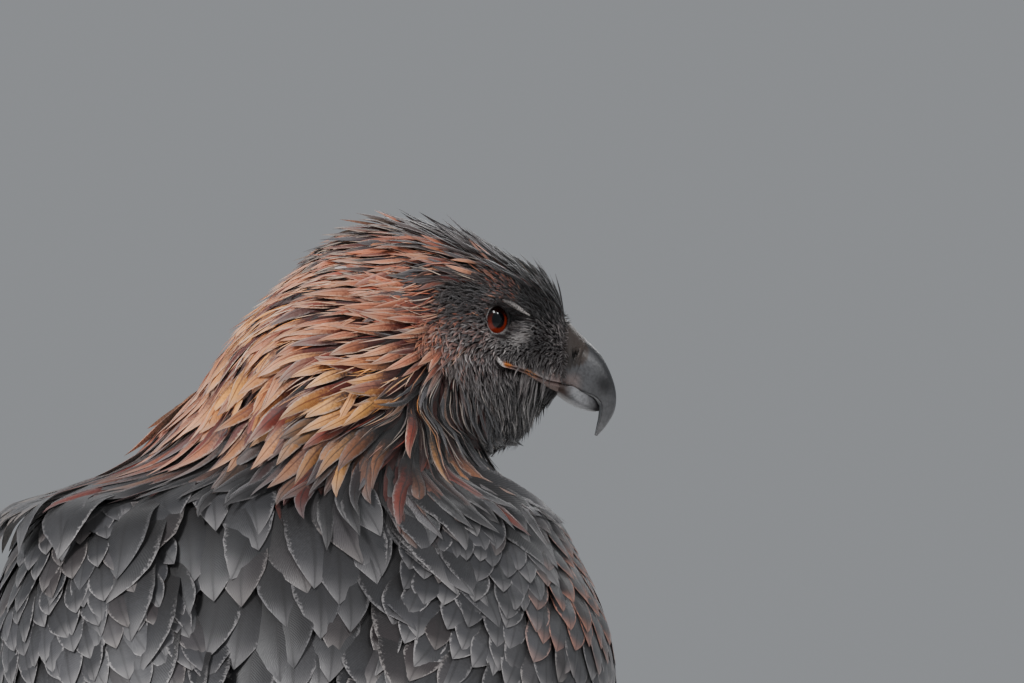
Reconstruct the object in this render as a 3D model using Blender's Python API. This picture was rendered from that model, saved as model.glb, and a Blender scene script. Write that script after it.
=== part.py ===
"""A life-size golden eagle that stands on the floor and looks over its right shoulder.

The bird faces -Y, its right side is -X, and the head is turned so that the bill points to -X.
All sizes below are in millimetres; meshes are written in metres.
"""
import math
import random
from collections import namedtuple

import bmesh
import bpy
from mathutils import Vector

MM = 0.001
GAP = 0.3
UP = Vector((0.0, 0.0, 1.0))

# Where the model's middle lies along the floor, so that the origin is under the box centre
MIDDLE_Y = 115.0

# The head: the pupil of its right eye, and how far that lies out from the head's midplane.
# Outline points are read level with the view from behind, where the pupil is at 0, 0.
HEAD_TURN = 82.0
PUPIL = Vector((-83.0, -31.0, 604.4))
PUPIL_SIDE = 24.2
EYE_RADIUS = 8.5
EYE_OPENING = 6.25
EYE_ANGLE = 52.0

Station = namedtuple("Station", "x y z turn lean dorsal ventral side")

# The body as rings from the wing tips over the tail up to the neck
BODY_STATIONS = (
    Station(0, 330, 44, 0, 50, 8, 10, 54),
    Station(0, 258, 104, 0, 50, 11, 14, 58),
    Station(0, 188, 160, 0, 48, 17, 20, 56),
    Station(0, 125, 215, 0, 45, 28, 29, 50),
    Station(0, 95, 245, 0, 46, 52, 55, 66),
    Station(0, 55, 290, 0, 44, 78, 85, 90),
    Station(1, 15, 345, 0, 38, 98, 105, 104),
    Station(2, -18, 405, 0, 28, 102, 112, 112),
    Station(3, -35, 465, 0, 15, 92, 100, 111),
    Station(4, -42, 515, 4, 6, 74, 80, 96),
    Station(-11, -48, 545, 32, 2, 62, 62, 71),
)

# Rings of the head, fanned about the throat: crown point, throat point and half width
HEAD_RINGS = (
    ((-120, -15), (-5, -58), 60),
    ((-100, 10), (5, -52), 53),
    ((-75, 31), (10, -47), 43),
    ((-50, 39), (14, -42.5), 36.5),
    ((-25, 36), (17, -39), 33),
    ((-2, 28.5), (19, -36.5), 27.5),
    ((15, 19.5), (22, -35), 20),
    ((25, 9.5), (24.5, -34.5), 14.5),
    ((28.6, 1.2), (27.2, -33.5), 12),
)
HEAD_TURNS = (68, 79, HEAD_TURN, HEAD_TURN, HEAD_TURN, HEAD_TURN, HEAD_TURN, HEAD_TURN, HEAD_TURN)

# Where the nodes part, counted in stations
TAIL_ROOT = 3.0
NECK_ROOT = 9.6
HEAD_ROOT = 12.7
FACE_END = 19.0

# The folded wing: station, dorsal edge and ventral edge in degrees from the back, thickness
WING_TOP = 9.5
WING_CORE_END = 1.3
WING_SHAPE = (
    (9.5, 44, 104, 14),
    (9.0, 36, 116, 20),
    (8.0, 24, 122, 24),
    (7.0, 15, 114, 25),
    (6.0, 10, 110, 24),
    (5.0, 5, 108, 20),
    (4.0, 4, 97, 16),
    (3.0, 4, 80, 12),
    (2.0, 4, 66, 9),
    (1.0, 4, 54, 6),
    (0.55, 8, 48, 4.5),
    (0.2, 16, 38, 4),
)
WING_EDGE = 3.0

# How deep the wing's core lies, and its coverts: number and first station of each tier, the
# share of the width and the rise at each row, and the stations from one row to the next
WING_CORE_DEPTH = 2.2
COVERT_TIERS = ((5, 7.9), (5, 6.5))
COVERT_ROWS = ((0.5, -5.0), (0.92, 0.6), (1.0, 1.4), (0.16, 2.2))
COVERT_STEP = 0.6

# Flight feathers: number, stations of the rows, share of the width and height at each row,
# overlap, tilt and how much shorter each one is than the one above it
SECONDARIES = (6, (5.3, 4.5, 3.8, 3.2, 2.8),
               ((0.4, -4.0), (0.8, 1.2), (1.0, 2.2), (0.9, 2.8), (0.2, 3.0)),
               1.22, 1.5, 0.07)
PRIMARIES = (4, (4.0, 3.4, 2.5, 1.4, 0.6, 0.2),
             ((0.3, -5.0), (0.5, -1.6), (0.9, 1.2), (1.0, 1.8), (0.8, 2.0), (0.2, 2.0)),
             1.25, 1.1, 0.16)

# The upper bill and cere: culmen point, cutting-edge point and half width
CERE_RINGS = (
    ((29.0, 0.4), (27.8, -27.6), 12.6),
    ((33.4, -4.2), (28.8, -27.8), 12.2),
    ((37.3, -8.0), (30.0, -28.2), 11.5),
)
BILL_RINGS = (
    ((37.6, -8.3), (30.4, -28.3), 11.4),
    ((43.4, -14.2), (35.6, -31.0), 9.8),
    ((48.2, -22.8), (41.0, -33.4), 7.8),
    ((50.7, -31.4), (43.9, -36.8), 6.0),
    ((50.3, -39.1), (43.9, -41.2), 4.3),
    ((46.9, -45.6), (42.7, -46.2), 2.5),
    ((42.6, -50.6), (41.6, -50.2), 0.9),
)
LOWER_BILL_RINGS = (
    ((28.5, -28.6), (28.2, -33.4), 10.8),
    ((30.4, -28.8), (30.2, -36.4), 10.2),
    ((35.4, -31.6), (35.2, -38.7), 8.2),
    ((40.6, -34.0), (40.4, -39.9), 5.4),
    ((43.3, -37.6), (43.2, -39.7), 2.4),
)

# The legs and feet
FOOT_X = 62.0
FOOT_Y = 8.0
PALM_RADIUS = 18.5
PALM_HEIGHT = 15.0
Toe = namedtuple("Toe", "name heading length girth claw_length claw_girth")
TOES = (
    Toe("inner", -37, 42, 8.6, 48, 6.4),
    Toe("middle", 6, 60, 8.2, 38, 5.2),
    Toe("outer", 51, 45, 7.6, 30, 4.6),
    Toe("hind", 176, 33, 9.0, 56, 7.0),
)


def catmull(values, s):
    """Read a smooth curve through equally spaced values."""
    last = len(values) - 1
    i = min(int(math.floor(s)), last - 1)
    t = s - i
    p0 = values[max(i - 1, 0)]
    p1 = values[i]
    p2 = values[i + 1]
    p3 = values[min(i + 2, last)]
    slope = (p2 - p0) * t
    bend = (2 * p0 - 5 * p1 + 4 * p2 - p3) * t * t
    twist = (3 * p1 - p0 - 3 * p2 + p3) * t ** 3
    return p1 + 0.5 * (slope + bend + twist)


def between(rows, s, column):
    """Read one column of a table by its first column, straight between its rows."""
    rows = sorted(rows)
    if s <= rows[0][0]:
        return rows[0][column]
    for low, high in zip(rows, rows[1:]):
        if s <= high[0]:
            share = (s - low[0]) / (high[0] - low[0])
            return low[column] + (high[column] - low[column]) * share
    return rows[-1][column]


def facing(turn):
    """Give the level direction that a part turned by so many degrees faces."""
    angle = math.radians(turn)
    return Vector((-math.sin(angle), -math.cos(angle), 0.0))


def head_point(forward, up, side):
    """Place a point by its distance forward and up from the pupil and out to the head's right."""
    front = facing(HEAD_TURN)
    right = front.cross(UP)
    return PUPIL + front * forward + UP * up + right * (side - PUPIL_SIDE)


def outline_point(across, up, side=0.0):
    """Place a point of the head's outline, read from behind, and move it out to the right."""
    front = facing(HEAD_TURN)
    level = front.cross(UP).x * PUPIL_SIDE
    return head_point((level - across) / front.x, up, side)


def head_station(ring, turn):
    """Turn a crown point, a throat point and a half width into a body station."""
    (crown_a, crown_b), (throat_a, throat_b), side = ring
    half_a = (crown_a - throat_a) / 2
    half_b = (crown_b - throat_b) / 2
    reach = math.hypot(half_a, half_b)
    lean = math.degrees(math.atan2(half_b, -half_a))
    middle = outline_point((crown_a + throat_a) / 2, (crown_b + throat_b) / 2)
    return Station(middle.x, middle.y, middle.z, turn, lean, reach, reach, side)


STATIONS = BODY_STATIONS + tuple(map(head_station, HEAD_RINGS, HEAD_TURNS))


def station_at(s):
    """Read all values of the body's rings between two stations."""
    return Station(*(catmull([row[i] for row in STATIONS], s) for i in range(8)))


def skin_point(s, angle, height=0.0):
    """Place a point on the body's ring at an angle from the back, raised by a height."""
    here = station_at(s)
    front = facing(here.turn)
    lean = math.radians(here.lean)
    dorsal = -math.cos(lean) * front + math.sin(lean) * UP
    right = front.cross(UP)
    theta = math.radians(angle)
    across = math.sin(theta)
    reach = here.dorsal if math.cos(theta) > 0 else here.ventral
    side = right * across * (here.side + height)
    spine = dorsal * math.cos(theta) * (reach + height)
    return Vector((here.x, here.y, here.z)) + side + spine


def ring_normal(s):
    """Give the direction in which the body runs at a station."""
    here = station_at(s)
    lean = math.radians(here.lean)
    return math.cos(lean) * UP + math.sin(lean) * facing(here.turn)


def body_ring(s, sides, height=0.0, shift=0.0):
    """Make one ring of the body, moved along the body by a shift."""
    move = ring_normal(s) * shift
    return [skin_point(s, 360 * i / sides, height) + move for i in range(sides)]


def mesh_from(points, faces):
    """Make a mesh in metres, with its middle over the origin."""
    mesh = bpy.data.meshes.new("shape")
    moved = [((p[0]) * MM, (p[1] - MIDDLE_Y) * MM, p[2] * MM) for p in points]
    mesh.from_pydata(moved, [], faces)
    mesh.validate()
    return mesh


def facing_out(mesh):
    """Turn a closed mesh's faces outward."""
    shape = bmesh.new()
    shape.from_mesh(mesh)
    bmesh.ops.recalc_face_normals(shape, faces=shape.faces)
    shape.to_mesh(mesh)
    shape.free()
    return mesh


def loft(rings, tip=None):
    """Skin a row of equal rings and close both ends, the last one in a tip if one is given."""
    sides = len(rings[0])
    points = [p for ring in rings for p in ring]
    faces = []
    for r in range(len(rings) - 1):
        for i in range(sides):
            a = r * sides + i
            b = r * sides + (i + 1) % sides
            faces += split_quad(points, a, b, b + sides, a + sides)
    faces.append(tuple(range(sides)))
    top = (len(rings) - 1) * sides
    if tip is None:
        faces.append(tuple(range(top, top + sides)))
    else:
        points.append(tip)
        faces += [(top + i, top + (i + 1) % sides, len(points) - 1) for i in range(sides)]
    return facing_out(mesh_from(points, faces))


def split_quad(points, a, b, c, d):
    """Split four corners into two triangles along the shorter diagonal."""
    if (points[a] - points[c]).length <= (points[b] - points[d]).length:
        return [(a, b, c), (a, c, d)]
    return [(a, b, d), (b, c, d)]


def ball(centre, radii, segments, rings):
    """Make an ellipsoid with its own axes along X, Y and Z."""
    shape = bmesh.new()
    bmesh.ops.create_uvsphere(shape, u_segments=segments, v_segments=rings, radius=1.0)
    points = [[v.co[k] * radii[k] + centre[k] for k in range(3)] for v in shape.verts]
    faces = [[v.index for v in f.verts] for f in shape.faces]
    shape.free()
    return facing_out(mesh_from(points, faces))


def apply_boolean(mesh, operation, solver, operands):
    """Join closed meshes to a mesh or cut them from it, and keep the result's largest body."""
    base = bpy.data.objects.new("base", mesh)
    scene = bpy.context.scene.collection
    scene.objects.link(base)
    group = bpy.data.collections.new("operands")
    scene.children.link(group)
    for operand in operands:
        group.objects.link(bpy.data.objects.new("operand", operand))
    change = base.modifiers.new("join", "BOOLEAN")
    change.operation = operation
    change.operand_type = "COLLECTION"
    change.collection = group
    change.solver = solver
    bpy.context.view_layer.update()
    graph = bpy.context.evaluated_depsgraph_get()
    result = bpy.data.meshes.new_from_object(base.evaluated_get(graph))
    for item in list(group.objects) + [base]:
        bpy.data.objects.remove(item)
    bpy.data.collections.remove(group)
    return largest_body(result)


def largest_body(mesh):
    """Drop all but the closed surface that has the most faces."""
    shape = bmesh.new()
    shape.from_mesh(mesh)
    shape.faces.ensure_lookup_table()
    left = set(shape.faces)
    bodies = []
    while left:
        front = [left.pop()]
        body = list(front)
        while front:
            near = {f for e in front.pop().edges for f in e.link_faces} & left
            left -= near
            front.extend(near)
            body.extend(near)
        bodies.append(body)
    keep = set(max(bodies, key=len))
    bmesh.ops.delete(shape, geom=[f for f in shape.faces if f not in keep], context="FACES")
    shape.to_mesh(mesh)
    shape.free()
    return mesh


def union(mesh, pieces):
    """Fuse pieces into a mesh."""
    return apply_boolean(mesh, "UNION", "MANIFOLD", pieces)


def cut(mesh, cutters):
    """Cut shapes out of a mesh."""
    return apply_boolean(mesh, "DIFFERENCE", "MANIFOLD", cutters)


def material(name, colour, roughness):
    """Make a plain Principled material."""
    made = bpy.data.materials.new(name)
    made.use_nodes = True
    shader = made.node_tree.nodes["Principled BSDF"]
    shader.inputs["Base Color"].default_value = (*colour, 1.0)
    shader.inputs["Roughness"].default_value = roughness
    return made


def node(name, mesh, finish):
    """Show a mesh as a named object with one material."""
    mesh.name = name
    mesh.materials.clear()
    mesh.materials.append(finish)
    made = bpy.data.objects.new(name, mesh)
    bpy.context.scene.collection.objects.link(made)
    return made



VANE_THICKNESS = 0.8


def vane_mesh(upper, lower):
    """Close a thin plate between two like grids, split into triangles alike on both faces."""
    rows = len(upper)
    across = len(upper[0])
    count = rows * across
    points = [p for row in upper for p in row] + [p for row in lower for p in row]
    faces = []
    for r in range(rows - 1):
        for c in range(across - 1):
            a = r * across + c
            b, d, e = a + 1, a + across + 1, a + across
            faces += [(a, b, d), (a, d, e)]
            faces += [(a + count, d + count, b + count), (a + count, e + count, d + count)]
    rim = list(range(across))
    rim += [r * across + across - 1 for r in range(1, rows)]
    rim += [(rows - 1) * across + c for c in range(across - 2, -1, -1)]
    rim += [r * across for r in range(rows - 2, 0, -1)]
    for a, b in zip(rim, rim[1:] + rim[:1]):
        faces += [(a, a + count, b + count), (a, b + count, b)]
    return facing_out(mesh_from(points, faces))


def ramp(value, low, high):
    """Rise from 0 to 1 between two values."""
    return min(1.0, max(0.0, (value - low) / (high - low)))


# Facets round the trunk and head, and columns of feathers round the neck and crown
BODY_SIDES = 24
HEAD_SIDES = 22
NECK_COLUMNS = 14
CROWN_COLUMNS = 14


def torso_mesh(grow=0.0):
    """Make the trunk from the tail root to the root of the neck."""
    steps = 15
    rings = []
    for i in range(steps + 1):
        s = TAIL_ROOT + (NECK_ROOT - TAIL_ROOT) * i / steps
        shift = grow - GAP / 2 if i == steps else 0.0
        shift = GAP / 2 - grow if i == 0 else shift
        rings.append(body_ring(s, BODY_SIDES, grow, shift))
    return loft(rings)


def walk(s, angle, distance):
    """Follow the body's skin down from a station and give the station that far along."""
    gone = 0.0
    here = skin_point(s, angle)
    while gone < distance - 1e-6:
        pace = max((skin_point(s - 0.02, angle) - here).length / 0.02, 6.0)
        step = min(3.0, distance - gone)
        s -= step / pace
        gone += step
        here = skin_point(s, angle)
    return s


# The long feathers of the neck and crown: how deep their core lies under the outline, their
# length and spacing down the body, and rows with shares of length and width and the rise
Locks = namedtuple("Locks", "depth length spacing rows")
HACKLES = Locks(5.0, 48.0, 28.0, ((0, 0.5, -4.0), (0.28, 0.88, 1.0), (0.6, 0.94, 2.8), (1.0, 0.1, 5.0)))
CROWN = Locks(2.2, 36.0, 26.0, ((0, 0.45, -2.5), (0.5, 0.92, 1.2), (1.0, 0.12, 3.0)))
# The face's core is shallow; feathers swing aside by a share of their width, and those that
# pass over a wing keep a little above it
FACE_DEPTH = 0.5
LOCK_SWING = 0.12
LOCK_COVER = 0.9


def lock(coat, s, angle, width, depth_at, dice):
    """Lay a flat, tapered feather that bends a little as it runs down the body from its root."""
    length = coat.length * dice.uniform(0.92, 1.06)
    swing = width * dice.uniform(-LOCK_SWING, LOCK_SWING)
    upper = []
    lower = []
    for along, share, rise in coat.rows:
        here = walk(s, angle, length * along)
        middle = angle + swing * along ** 2
        height = max(rise - depth_at(here), lock_floor(here, middle))
        ends = [middle - width * share / 2, middle + width * share / 2]
        upper.append([skin_point(here, a, height + VANE_THICKNESS / 2) for a in ends])
        lower.append([skin_point(here, a, height - VANE_THICKNESS / 2) for a in ends])
    return vane_mesh(upper, lower)


def lock_floor(s, angle):
    """Give the least height of a feather, which passes over the top of a wing."""
    level = min(angle, 360 - angle)
    dorsal, ventral, _ = wing_edges(s)
    if s > WING_TOP + 0.06 or not dorsal - 8 < level < ventral + 8:
        return -100.0
    return wing_height(min(s, WING_TOP), level) + LOCK_COVER


def locks(coat, columns, begin_at, stop_at, depth_at, seed):
    """Lay feathers in columns all round the body, each one over the next one down."""
    dice = random.Random(seed)
    found = []
    width = 360 / columns
    for column in range(columns):
        angle = width * (column + 0.5)
        level = min(angle, 360 - angle)
        s = walk(begin_at(level), angle, coat.spacing * 0.5 * (column % 2))
        while walk(s, angle, coat.length) > stop_at(level):
            found.append(lock(coat, s, angle, width, depth_at, dice))
            s = walk(s, angle, coat.spacing)
    return found


def neck_mesh():
    """Make the neck's core from the shoulders to the back of the head."""
    steps = 7
    rings = []
    for i in range(steps + 1):
        s = NECK_ROOT + (HEAD_ROOT - NECK_ROOT) * i / steps
        shift = GAP / 2 if i == 0 else 0.0
        shift = -GAP / 2 if i == steps else shift
        rings.append(body_ring(s, NECK_COLUMNS, -HACKLES.depth, shift))
    return loft(rings)


def neck_depth(s):
    """Give how deep the neck's core lies; over the trunk its feathers lie on the outside."""
    share = ramp(s, NECK_ROOT, NECK_ROOT + 0.4)
    return HACKLES.depth * share - 2.6 * (1 - share)


def hackles():
    """Lay the long pointed feathers of the neck; the last ones hang over the shoulders."""
    def stop_at(level):
        """Give the station past which no tip hangs."""
        return WING_TOP - 0.2 if 36 < level < 132 else NECK_ROOT - 0.9
    return locks(HACKLES, NECK_COLUMNS, lambda level: HEAD_ROOT - 0.1, stop_at, neck_depth, 3)


def head_depth(s):
    """Give how deep the head's core lies: shallow on the face, deeper under the crown's feathers."""
    return CROWN.depth - (CROWN.depth - FACE_DEPTH) * ramp(s, 14.6, 16.4)


def head_mesh():
    """Make the head's core from the nape to the root of the bill."""
    steps = 13
    rings = []
    for i in range(steps + 1):
        s = HEAD_ROOT + (FACE_END - HEAD_ROOT) * i / steps
        shift = GAP / 2 if i == 0 else 0.0
        rings.append(body_ring(s, HEAD_SIDES, -head_depth(s), shift))
    return loft(rings)


def crown_feathers():
    """Lay the pointed feathers of the crown and nape, which hang over the top of the neck."""
    def begin_at(level):
        """Give the station of the first feathers: the crown's start nearest to the bill."""
        return 17.4 if level < 40 else 14.7 if level < 128 else 13.9
    return locks(CROWN, CROWN_COLUMNS, begin_at, lambda level: HEAD_ROOT - 0.9, head_depth, 5)


def eye_axis(sign):
    """Give the direction in which an eye looks; the right eye has sign +1."""
    angle = math.radians(EYE_ANGLE)
    front = facing(HEAD_TURN)
    return front * math.cos(angle) + front.cross(UP) * sign * math.sin(angle)


def eye_centre(sign):
    """Place the middle of an eyeball behind its pupil."""
    return head_point(0.0, 0.0, PUPIL_SIDE * sign) - eye_axis(sign) * EYE_RADIUS


def ring_about(centre, axis, radius, sides):
    """Make a circle of points round an axis."""
    first = axis.cross(UP).normalized()
    second = axis.cross(first).normalized()
    turns = [2 * math.pi * i / sides for i in range(sides)]
    return [centre + (first * math.cos(t) + second * math.sin(t)) * radius for t in turns]


def face_point(across, up, sign, height):
    """Find the point of the face that the view from behind shows at a place; the left mirrors it."""
    target = outline_point(across, up)
    best = None
    for i in range(61):
        s = 14.0 + 5.0 * i / 60
        for angle in range(30, 152, 2):
            p = skin_point(s, angle, 0.0)
            error = abs(p.x - target.x) + abs(p.z - target.z)
            if best is None or error < best[0]:
                best = (error, s, angle)
    _, s, angle = best
    return skin_point(s, angle if sign > 0 else 360 - angle, height)


# The mouth from its corner to the bill, and the ridge of the brow over the eye
MOUTH = ((1.3, -19.1), (8.5, -21.2), (15.5, -24.2), (21.5, -26.7), (26.3, -28.1))
BROW = ((-11.0, 7.5, 0.6), (-3.0, 9.8, 1.9), (5.0, 8.6, 2.4), (12.0, 4.4, 1.9), (18.0, -0.5, 0.7))


def ridge(points, radii, sides):
    """Skin a bent tube through points with a radius at each of them."""
    rings = []
    last = len(points) - 1
    for i, (middle, radius) in enumerate(zip(points, radii)):
        along = (points[min(i + 1, last)] - points[max(i - 1, 0)]).normalized()
        rings.append(ring_about(middle, along, radius, sides))
    return loft(rings)


def mouth(sign):
    """Make the tube that cuts the line of the mouth into one side of the face."""
    points = [face_point(a, b, sign, -FACE_DEPTH) for a, b in MOUTH]
    return ridge(points, [0.9] * len(points), 4)


def lips(sign):
    """Make the soft rims over and under the line of the mouth."""
    found = []
    for shift in (1.8, -1.9):
        points = [face_point(a, b + shift, sign, -0.6 - FACE_DEPTH) for a, b in MOUTH[1:]]
        found.append(ridge(points, [0.8, 1.5, 1.4, 1.0], 4))
    return found


def brow(sign):
    """Make the ridge that shades the eye."""
    points = [face_point(a, b, sign, -0.4 - FACE_DEPTH) for a, b, _ in BROW]
    return ridge(points, [row[2] for row in BROW], 5)


def eye_window(sign):
    """Make the cone that opens the face in front of an eye."""
    axis = eye_axis(sign)
    lid = math.sqrt(EYE_RADIUS ** 2 - EYE_OPENING ** 2)
    near = ring_about(eye_centre(sign) + axis * (lid - 1.0), axis, EYE_OPENING, 12)
    far = ring_about(eye_centre(sign) + axis * (lid + 14.0), axis, EYE_OPENING + 4.5, 12)
    return loft([near, far])


def eyelids(sign):
    """Make the ring of lid skin round an eye."""
    axis = eye_axis(sign)
    lid = math.sqrt(EYE_RADIUS ** 2 - EYE_OPENING ** 2)
    middle = eye_centre(sign) + axis * lid
    rings = []
    count = 12
    for i in range(count):
        turn = 2 * math.pi * i / count
        first = axis.cross(UP).normalized()
        second = axis.cross(first).normalized()
        out = first * math.cos(turn) + second * math.sin(turn)
        core = middle + out * (EYE_OPENING + 0.9)
        tube = [(0.0, 1.3), (1.2, 0.1), (0.4, -1.5), (-1.0, -1.2), (-1.1, 0.4)]
        rings.append([core + out * x + axis * y for x, y in tube])
    sides = len(rings[0])
    points = [p for ring in rings for p in ring]
    faces = []
    for r in range(count):
        for i in range(sides):
            j = (i + 1) % sides
            n = (r + 1) % count
            a, b = r * sides + i, r * sides + j
            c, d = n * sides + j, n * sides + i
            faces += [(a, b, c), (a, c, d)]
    return facing_out(mesh_from(points, faces))


# The bill's section from the culmen down one side: share of the half width, share of the depth
BILL_SECTION = ((0, 0), (0.36, 0.03), (0.66, 0.16), (0.87, 0.38), (0.98, 0.68), (0.94, 1.0), (0.5, 0.96))
LOWER_SECTION = ((0, 0.12), (0.6, 0.04), (1.0, 0), (0.98, 0.35), (0.82, 0.7), (0.45, 0.94), (0, 1.0))


def bill_loft(rows, section, closed_low):
    """Skin the bill's rings, each one set by its top, its bottom and its half width."""
    rings = []
    for (top_a, top_b), (low_a, low_b), half in rows:
        right = []
        for share, drop in section:
            a = top_a + (low_a - top_a) * drop
            b = top_b + (low_b - top_b) * drop
            right.append((a, b, half * share))
        low = [] if closed_low else [(low_a, low_b + (top_b - low_b) * 0.06, 0.0)]
        inner = right[1:-1] if closed_low else right[1:]
        left = [(a, b, -side) for a, b, side in reversed(inner)]
        rings.append([outline_point(*p) for p in right + low + left])
    return loft(rings)


def nostril(sign):
    """Make the slanted pit of a nostril in the cere's side."""
    low = head_point(32.0, -15.8, 11.9 * sign)
    high = head_point(35.6, -13.6, 11.0 * sign)
    right = facing(HEAD_TURN).cross(UP) * sign
    line = (high - low).normalized()
    wide = line.cross(right).normalized()
    rings = []
    for depth in (-2.0, 3.0):
        middle = (low + high) / 2 + right * depth
        turns = [2 * math.pi * i / 10 for i in range(10)]
        rings.append([middle + line * 2.1 * math.cos(t) + wide * 0.9 * math.sin(t) for t in turns])
    return loft(rings)


def wing_edges(s):
    """Give the wing's dorsal and ventral edges in degrees, and its thickness."""
    return tuple(between(WING_SHAPE, s, column) for column in (1, 2, 3))


def wing_height(s, angle):
    """Give how far the wing stands out from the body at a station and an angle."""
    dorsal, ventral, thick = wing_edges(s)
    share = (abs(angle) - dorsal) / (ventral - dorsal)
    if share <= 0 or share >= 1:
        return WING_EDGE
    top = min(1.0, (WING_TOP - s) / 0.5 + 0.35)
    return WING_EDGE + (thick * top - WING_EDGE) * math.sin(math.pi * share) ** 0.6


def wing_mesh(sign, grown_torso):
    """Make a folded wing's core as a shell on the body's side; the right wing has sign +1."""
    rows = 15
    columns = 8
    upper = []
    lower = []
    for i in range(rows + 1):
        s = WING_TOP + (WING_CORE_END - WING_TOP) * i / rows
        dorsal, ventral, _ = wing_edges(s)
        sunk = -6.0 if s > TAIL_ROOT + 0.15 else 1.0
        angles = [sign * (dorsal + (ventral - dorsal) * j / columns) for j in range(columns + 1)]
        deep = WING_CORE_DEPTH * ramp(WING_TOP - s, 0.4, 1.2)
        top = []
        for j, angle in enumerate(angles):
            share = min(1.0, 5 * j / columns, 5 - 5 * j / columns)
            top.append(skin_point(s, angle, wing_height(s, angle) - deep * share))
        upper.append(top)
        lower.append([skin_point(s, angle, sunk) for angle in angles])
    return cut(vane_mesh(upper, lower), [grown_torso])


def wing_plate(sign, middle, rows):
    """Lay a wing feather; its rows are station, half width, height and tilt, in shares across."""
    places = []
    for s, half, lift, tilt in rows:
        dorsal, ventral, _ = wing_edges(s)
        spots = [dorsal + (ventral - dorsal) * (middle + half * k) for k in (-1, 1)]
        places.append((s, spots, lift, tilt))
    upper = []
    lower = []
    for s, spots, lift, tilt in places:
        top = []
        low = []
        for k in (0, 1):
            angle = sign * (spots[0] + (spots[1] - spots[0]) * k)
            height = wing_height(s, angle) + lift + tilt * (2 * k - 1)
            top.append(skin_point(s, angle, height + VANE_THICKNESS / 2))
            low.append(skin_point(s, angle, height - VANE_THICKNESS / 2))
        upper.append(top)
        lower.append(low)
    return vane_mesh(upper, lower)


def wing_feathers(sign):
    """Lay a wing's coverts in tiers, and under them the secondaries and primaries."""
    vanes = []
    for count, top in COVERT_TIERS:
        for k in range(count):
            rows = []
            for line, (half, lift) in enumerate(COVERT_ROWS):
                rows.append((top - COVERT_STEP * line, 0.48 / count * half, lift, 0.0))
            vanes.append(wing_plate(sign, (k + 0.5) / count, rows))
    for count, stations, rows, overlap, tilt, shorten in (SECONDARIES, PRIMARIES):
        for k in range(count):
            half = overlap / count / 2
            middle = half + (1 - 2 * half) * k / (count - 1)
            places = []
            for s, (share, lift) in zip(stations, rows):
                low_end = s + shorten * k * (1.0 if s < stations[-2] + 0.01 else 0.0)
                places.append((low_end, half * share, lift, tilt * share))
            vanes.append(wing_plate(sign, middle, places))
    return vanes


# The folded tail: its root and tip, and the quills from the middle pair out
TAIL_START = Vector((0.0, 125.0, 215.0))
TAIL_TIP = Vector((0.0, 360.0, 25.0))
TAIL_FAN = 1.55
TAIL_QUILL_GAP = 4.2
TAIL_FEATHER_WIDTH = 46.0


def tail_frame():
    """Give the tail's length, the way that it points and the way up from its face."""
    along = TAIL_TIP - TAIL_START
    length = along.length
    along.normalize()
    return length, along, Vector((1.0, 0.0, 0.0)).cross(along)


def tail_plate(root, turn, rows, height, droop):
    """Lay one tail feather: its root's place across, its turn outward and its rows."""
    _, along, face = tail_frame()
    heading = math.radians(turn)
    aim = along * math.cos(heading) + Vector((math.sin(heading), 0.0, 0.0))
    across = Vector((math.cos(heading), 0.0, 0.0)) - along * math.sin(heading)
    upper = []
    lower = []
    for distance, half, lift in rows:
        top = []
        low = []
        for k in (-1, 0, 1):
            spot = TAIL_START + Vector((root, 0.0, 0.0)) + aim * distance + across * half * k
            level = height + lift - droop * half * abs(k)
            top.append(spot + face * (level + VANE_THICKNESS / 2))
            low.append(spot + face * (level - VANE_THICKNESS / 2))
        upper.append(top)
        lower.append(low)
    return vane_mesh(upper, lower)


# The fleshy root of the tail: distance along, half width, half thickness and drop
TAIL_CORE = ((0, 48, 27, 0), (30, 43, 22, 2), (66, 35, 15, 4), (100, 27, 9, 4.5), (128, 18, 4.5, 4))


def tail_core():
    """Make the fleshy root of the tail."""
    _, along, face = tail_frame()
    down = ring_normal(TAIL_ROOT)
    rings = []
    for distance, half, thick, sink in TAIL_CORE:
        axis = -down if distance == 0 else along
        top = Vector((1.0, 0.0, 0.0)).cross(axis)
        middle = TAIL_START - down * GAP / 2 + along * distance - top * sink
        turns = [2 * math.pi * (i + 0.5) / 14 for i in range(14)]
        side = Vector((half, 0.0, 0.0))
        rings.append([middle + side * math.sin(t) + top * thick * math.cos(t) for t in turns])
    return loft(rings)


def tail_feathers():
    """Lay the twelve tail feathers, the middle pair on top, and the coverts over and under."""
    length, _, _ = tail_frame()
    plates = []
    half = TAIL_FEATHER_WIDTH / 2
    level = 0.0
    for pair in range(6):
        for sign in (1, -1):
            reach = length - 1.6 * pair ** 2
            rows = ((60, half * 0.25, 0), (100, half * 0.5, 0), (reach * 0.55, half * 0.85, 0),
                    (reach * 0.86, half, 0), (reach * 0.96, half * 0.72, 0), (reach, half * 0.22, 0))
            root = sign * (1.2 + TAIL_QUILL_GAP * pair)
            plates.append(tail_plate(root, sign * (0.6 + TAIL_FAN * pair), rows, level, 0.0))
            level -= 1.25 if pair < 3 or sign < 0 else 0.0
    for place, turn, reach in ((0, 0, 150), (17, 4, 136), (-17, -4, 136), (31, 8, 118), (-31, -8, 118)):
        rows = ((14, 8, 2), (44, 13, 4.4 - abs(place) * 0.09), (reach * 0.8, 14, 3.4 - abs(place) * 0.07),
                (reach, 2.5, 2.6 - abs(place) * 0.05))
        plates.append(tail_plate(place, turn, rows, 1.2 + (0.0 if place else 1.3), 0.02))
    for place, turn, reach in ((0, 0, 150), (16, 4, 134), (-16, -4, 134)):
        rows = ((14, 8, 2), (44, 13, -3.5), (reach * 0.8, 14, -5), (reach, 2.5, -6))
        plates.append(tail_plate(place, turn, rows, -13.0 - (0.0 if place else 1.4), 0.0))
    return plates


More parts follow.
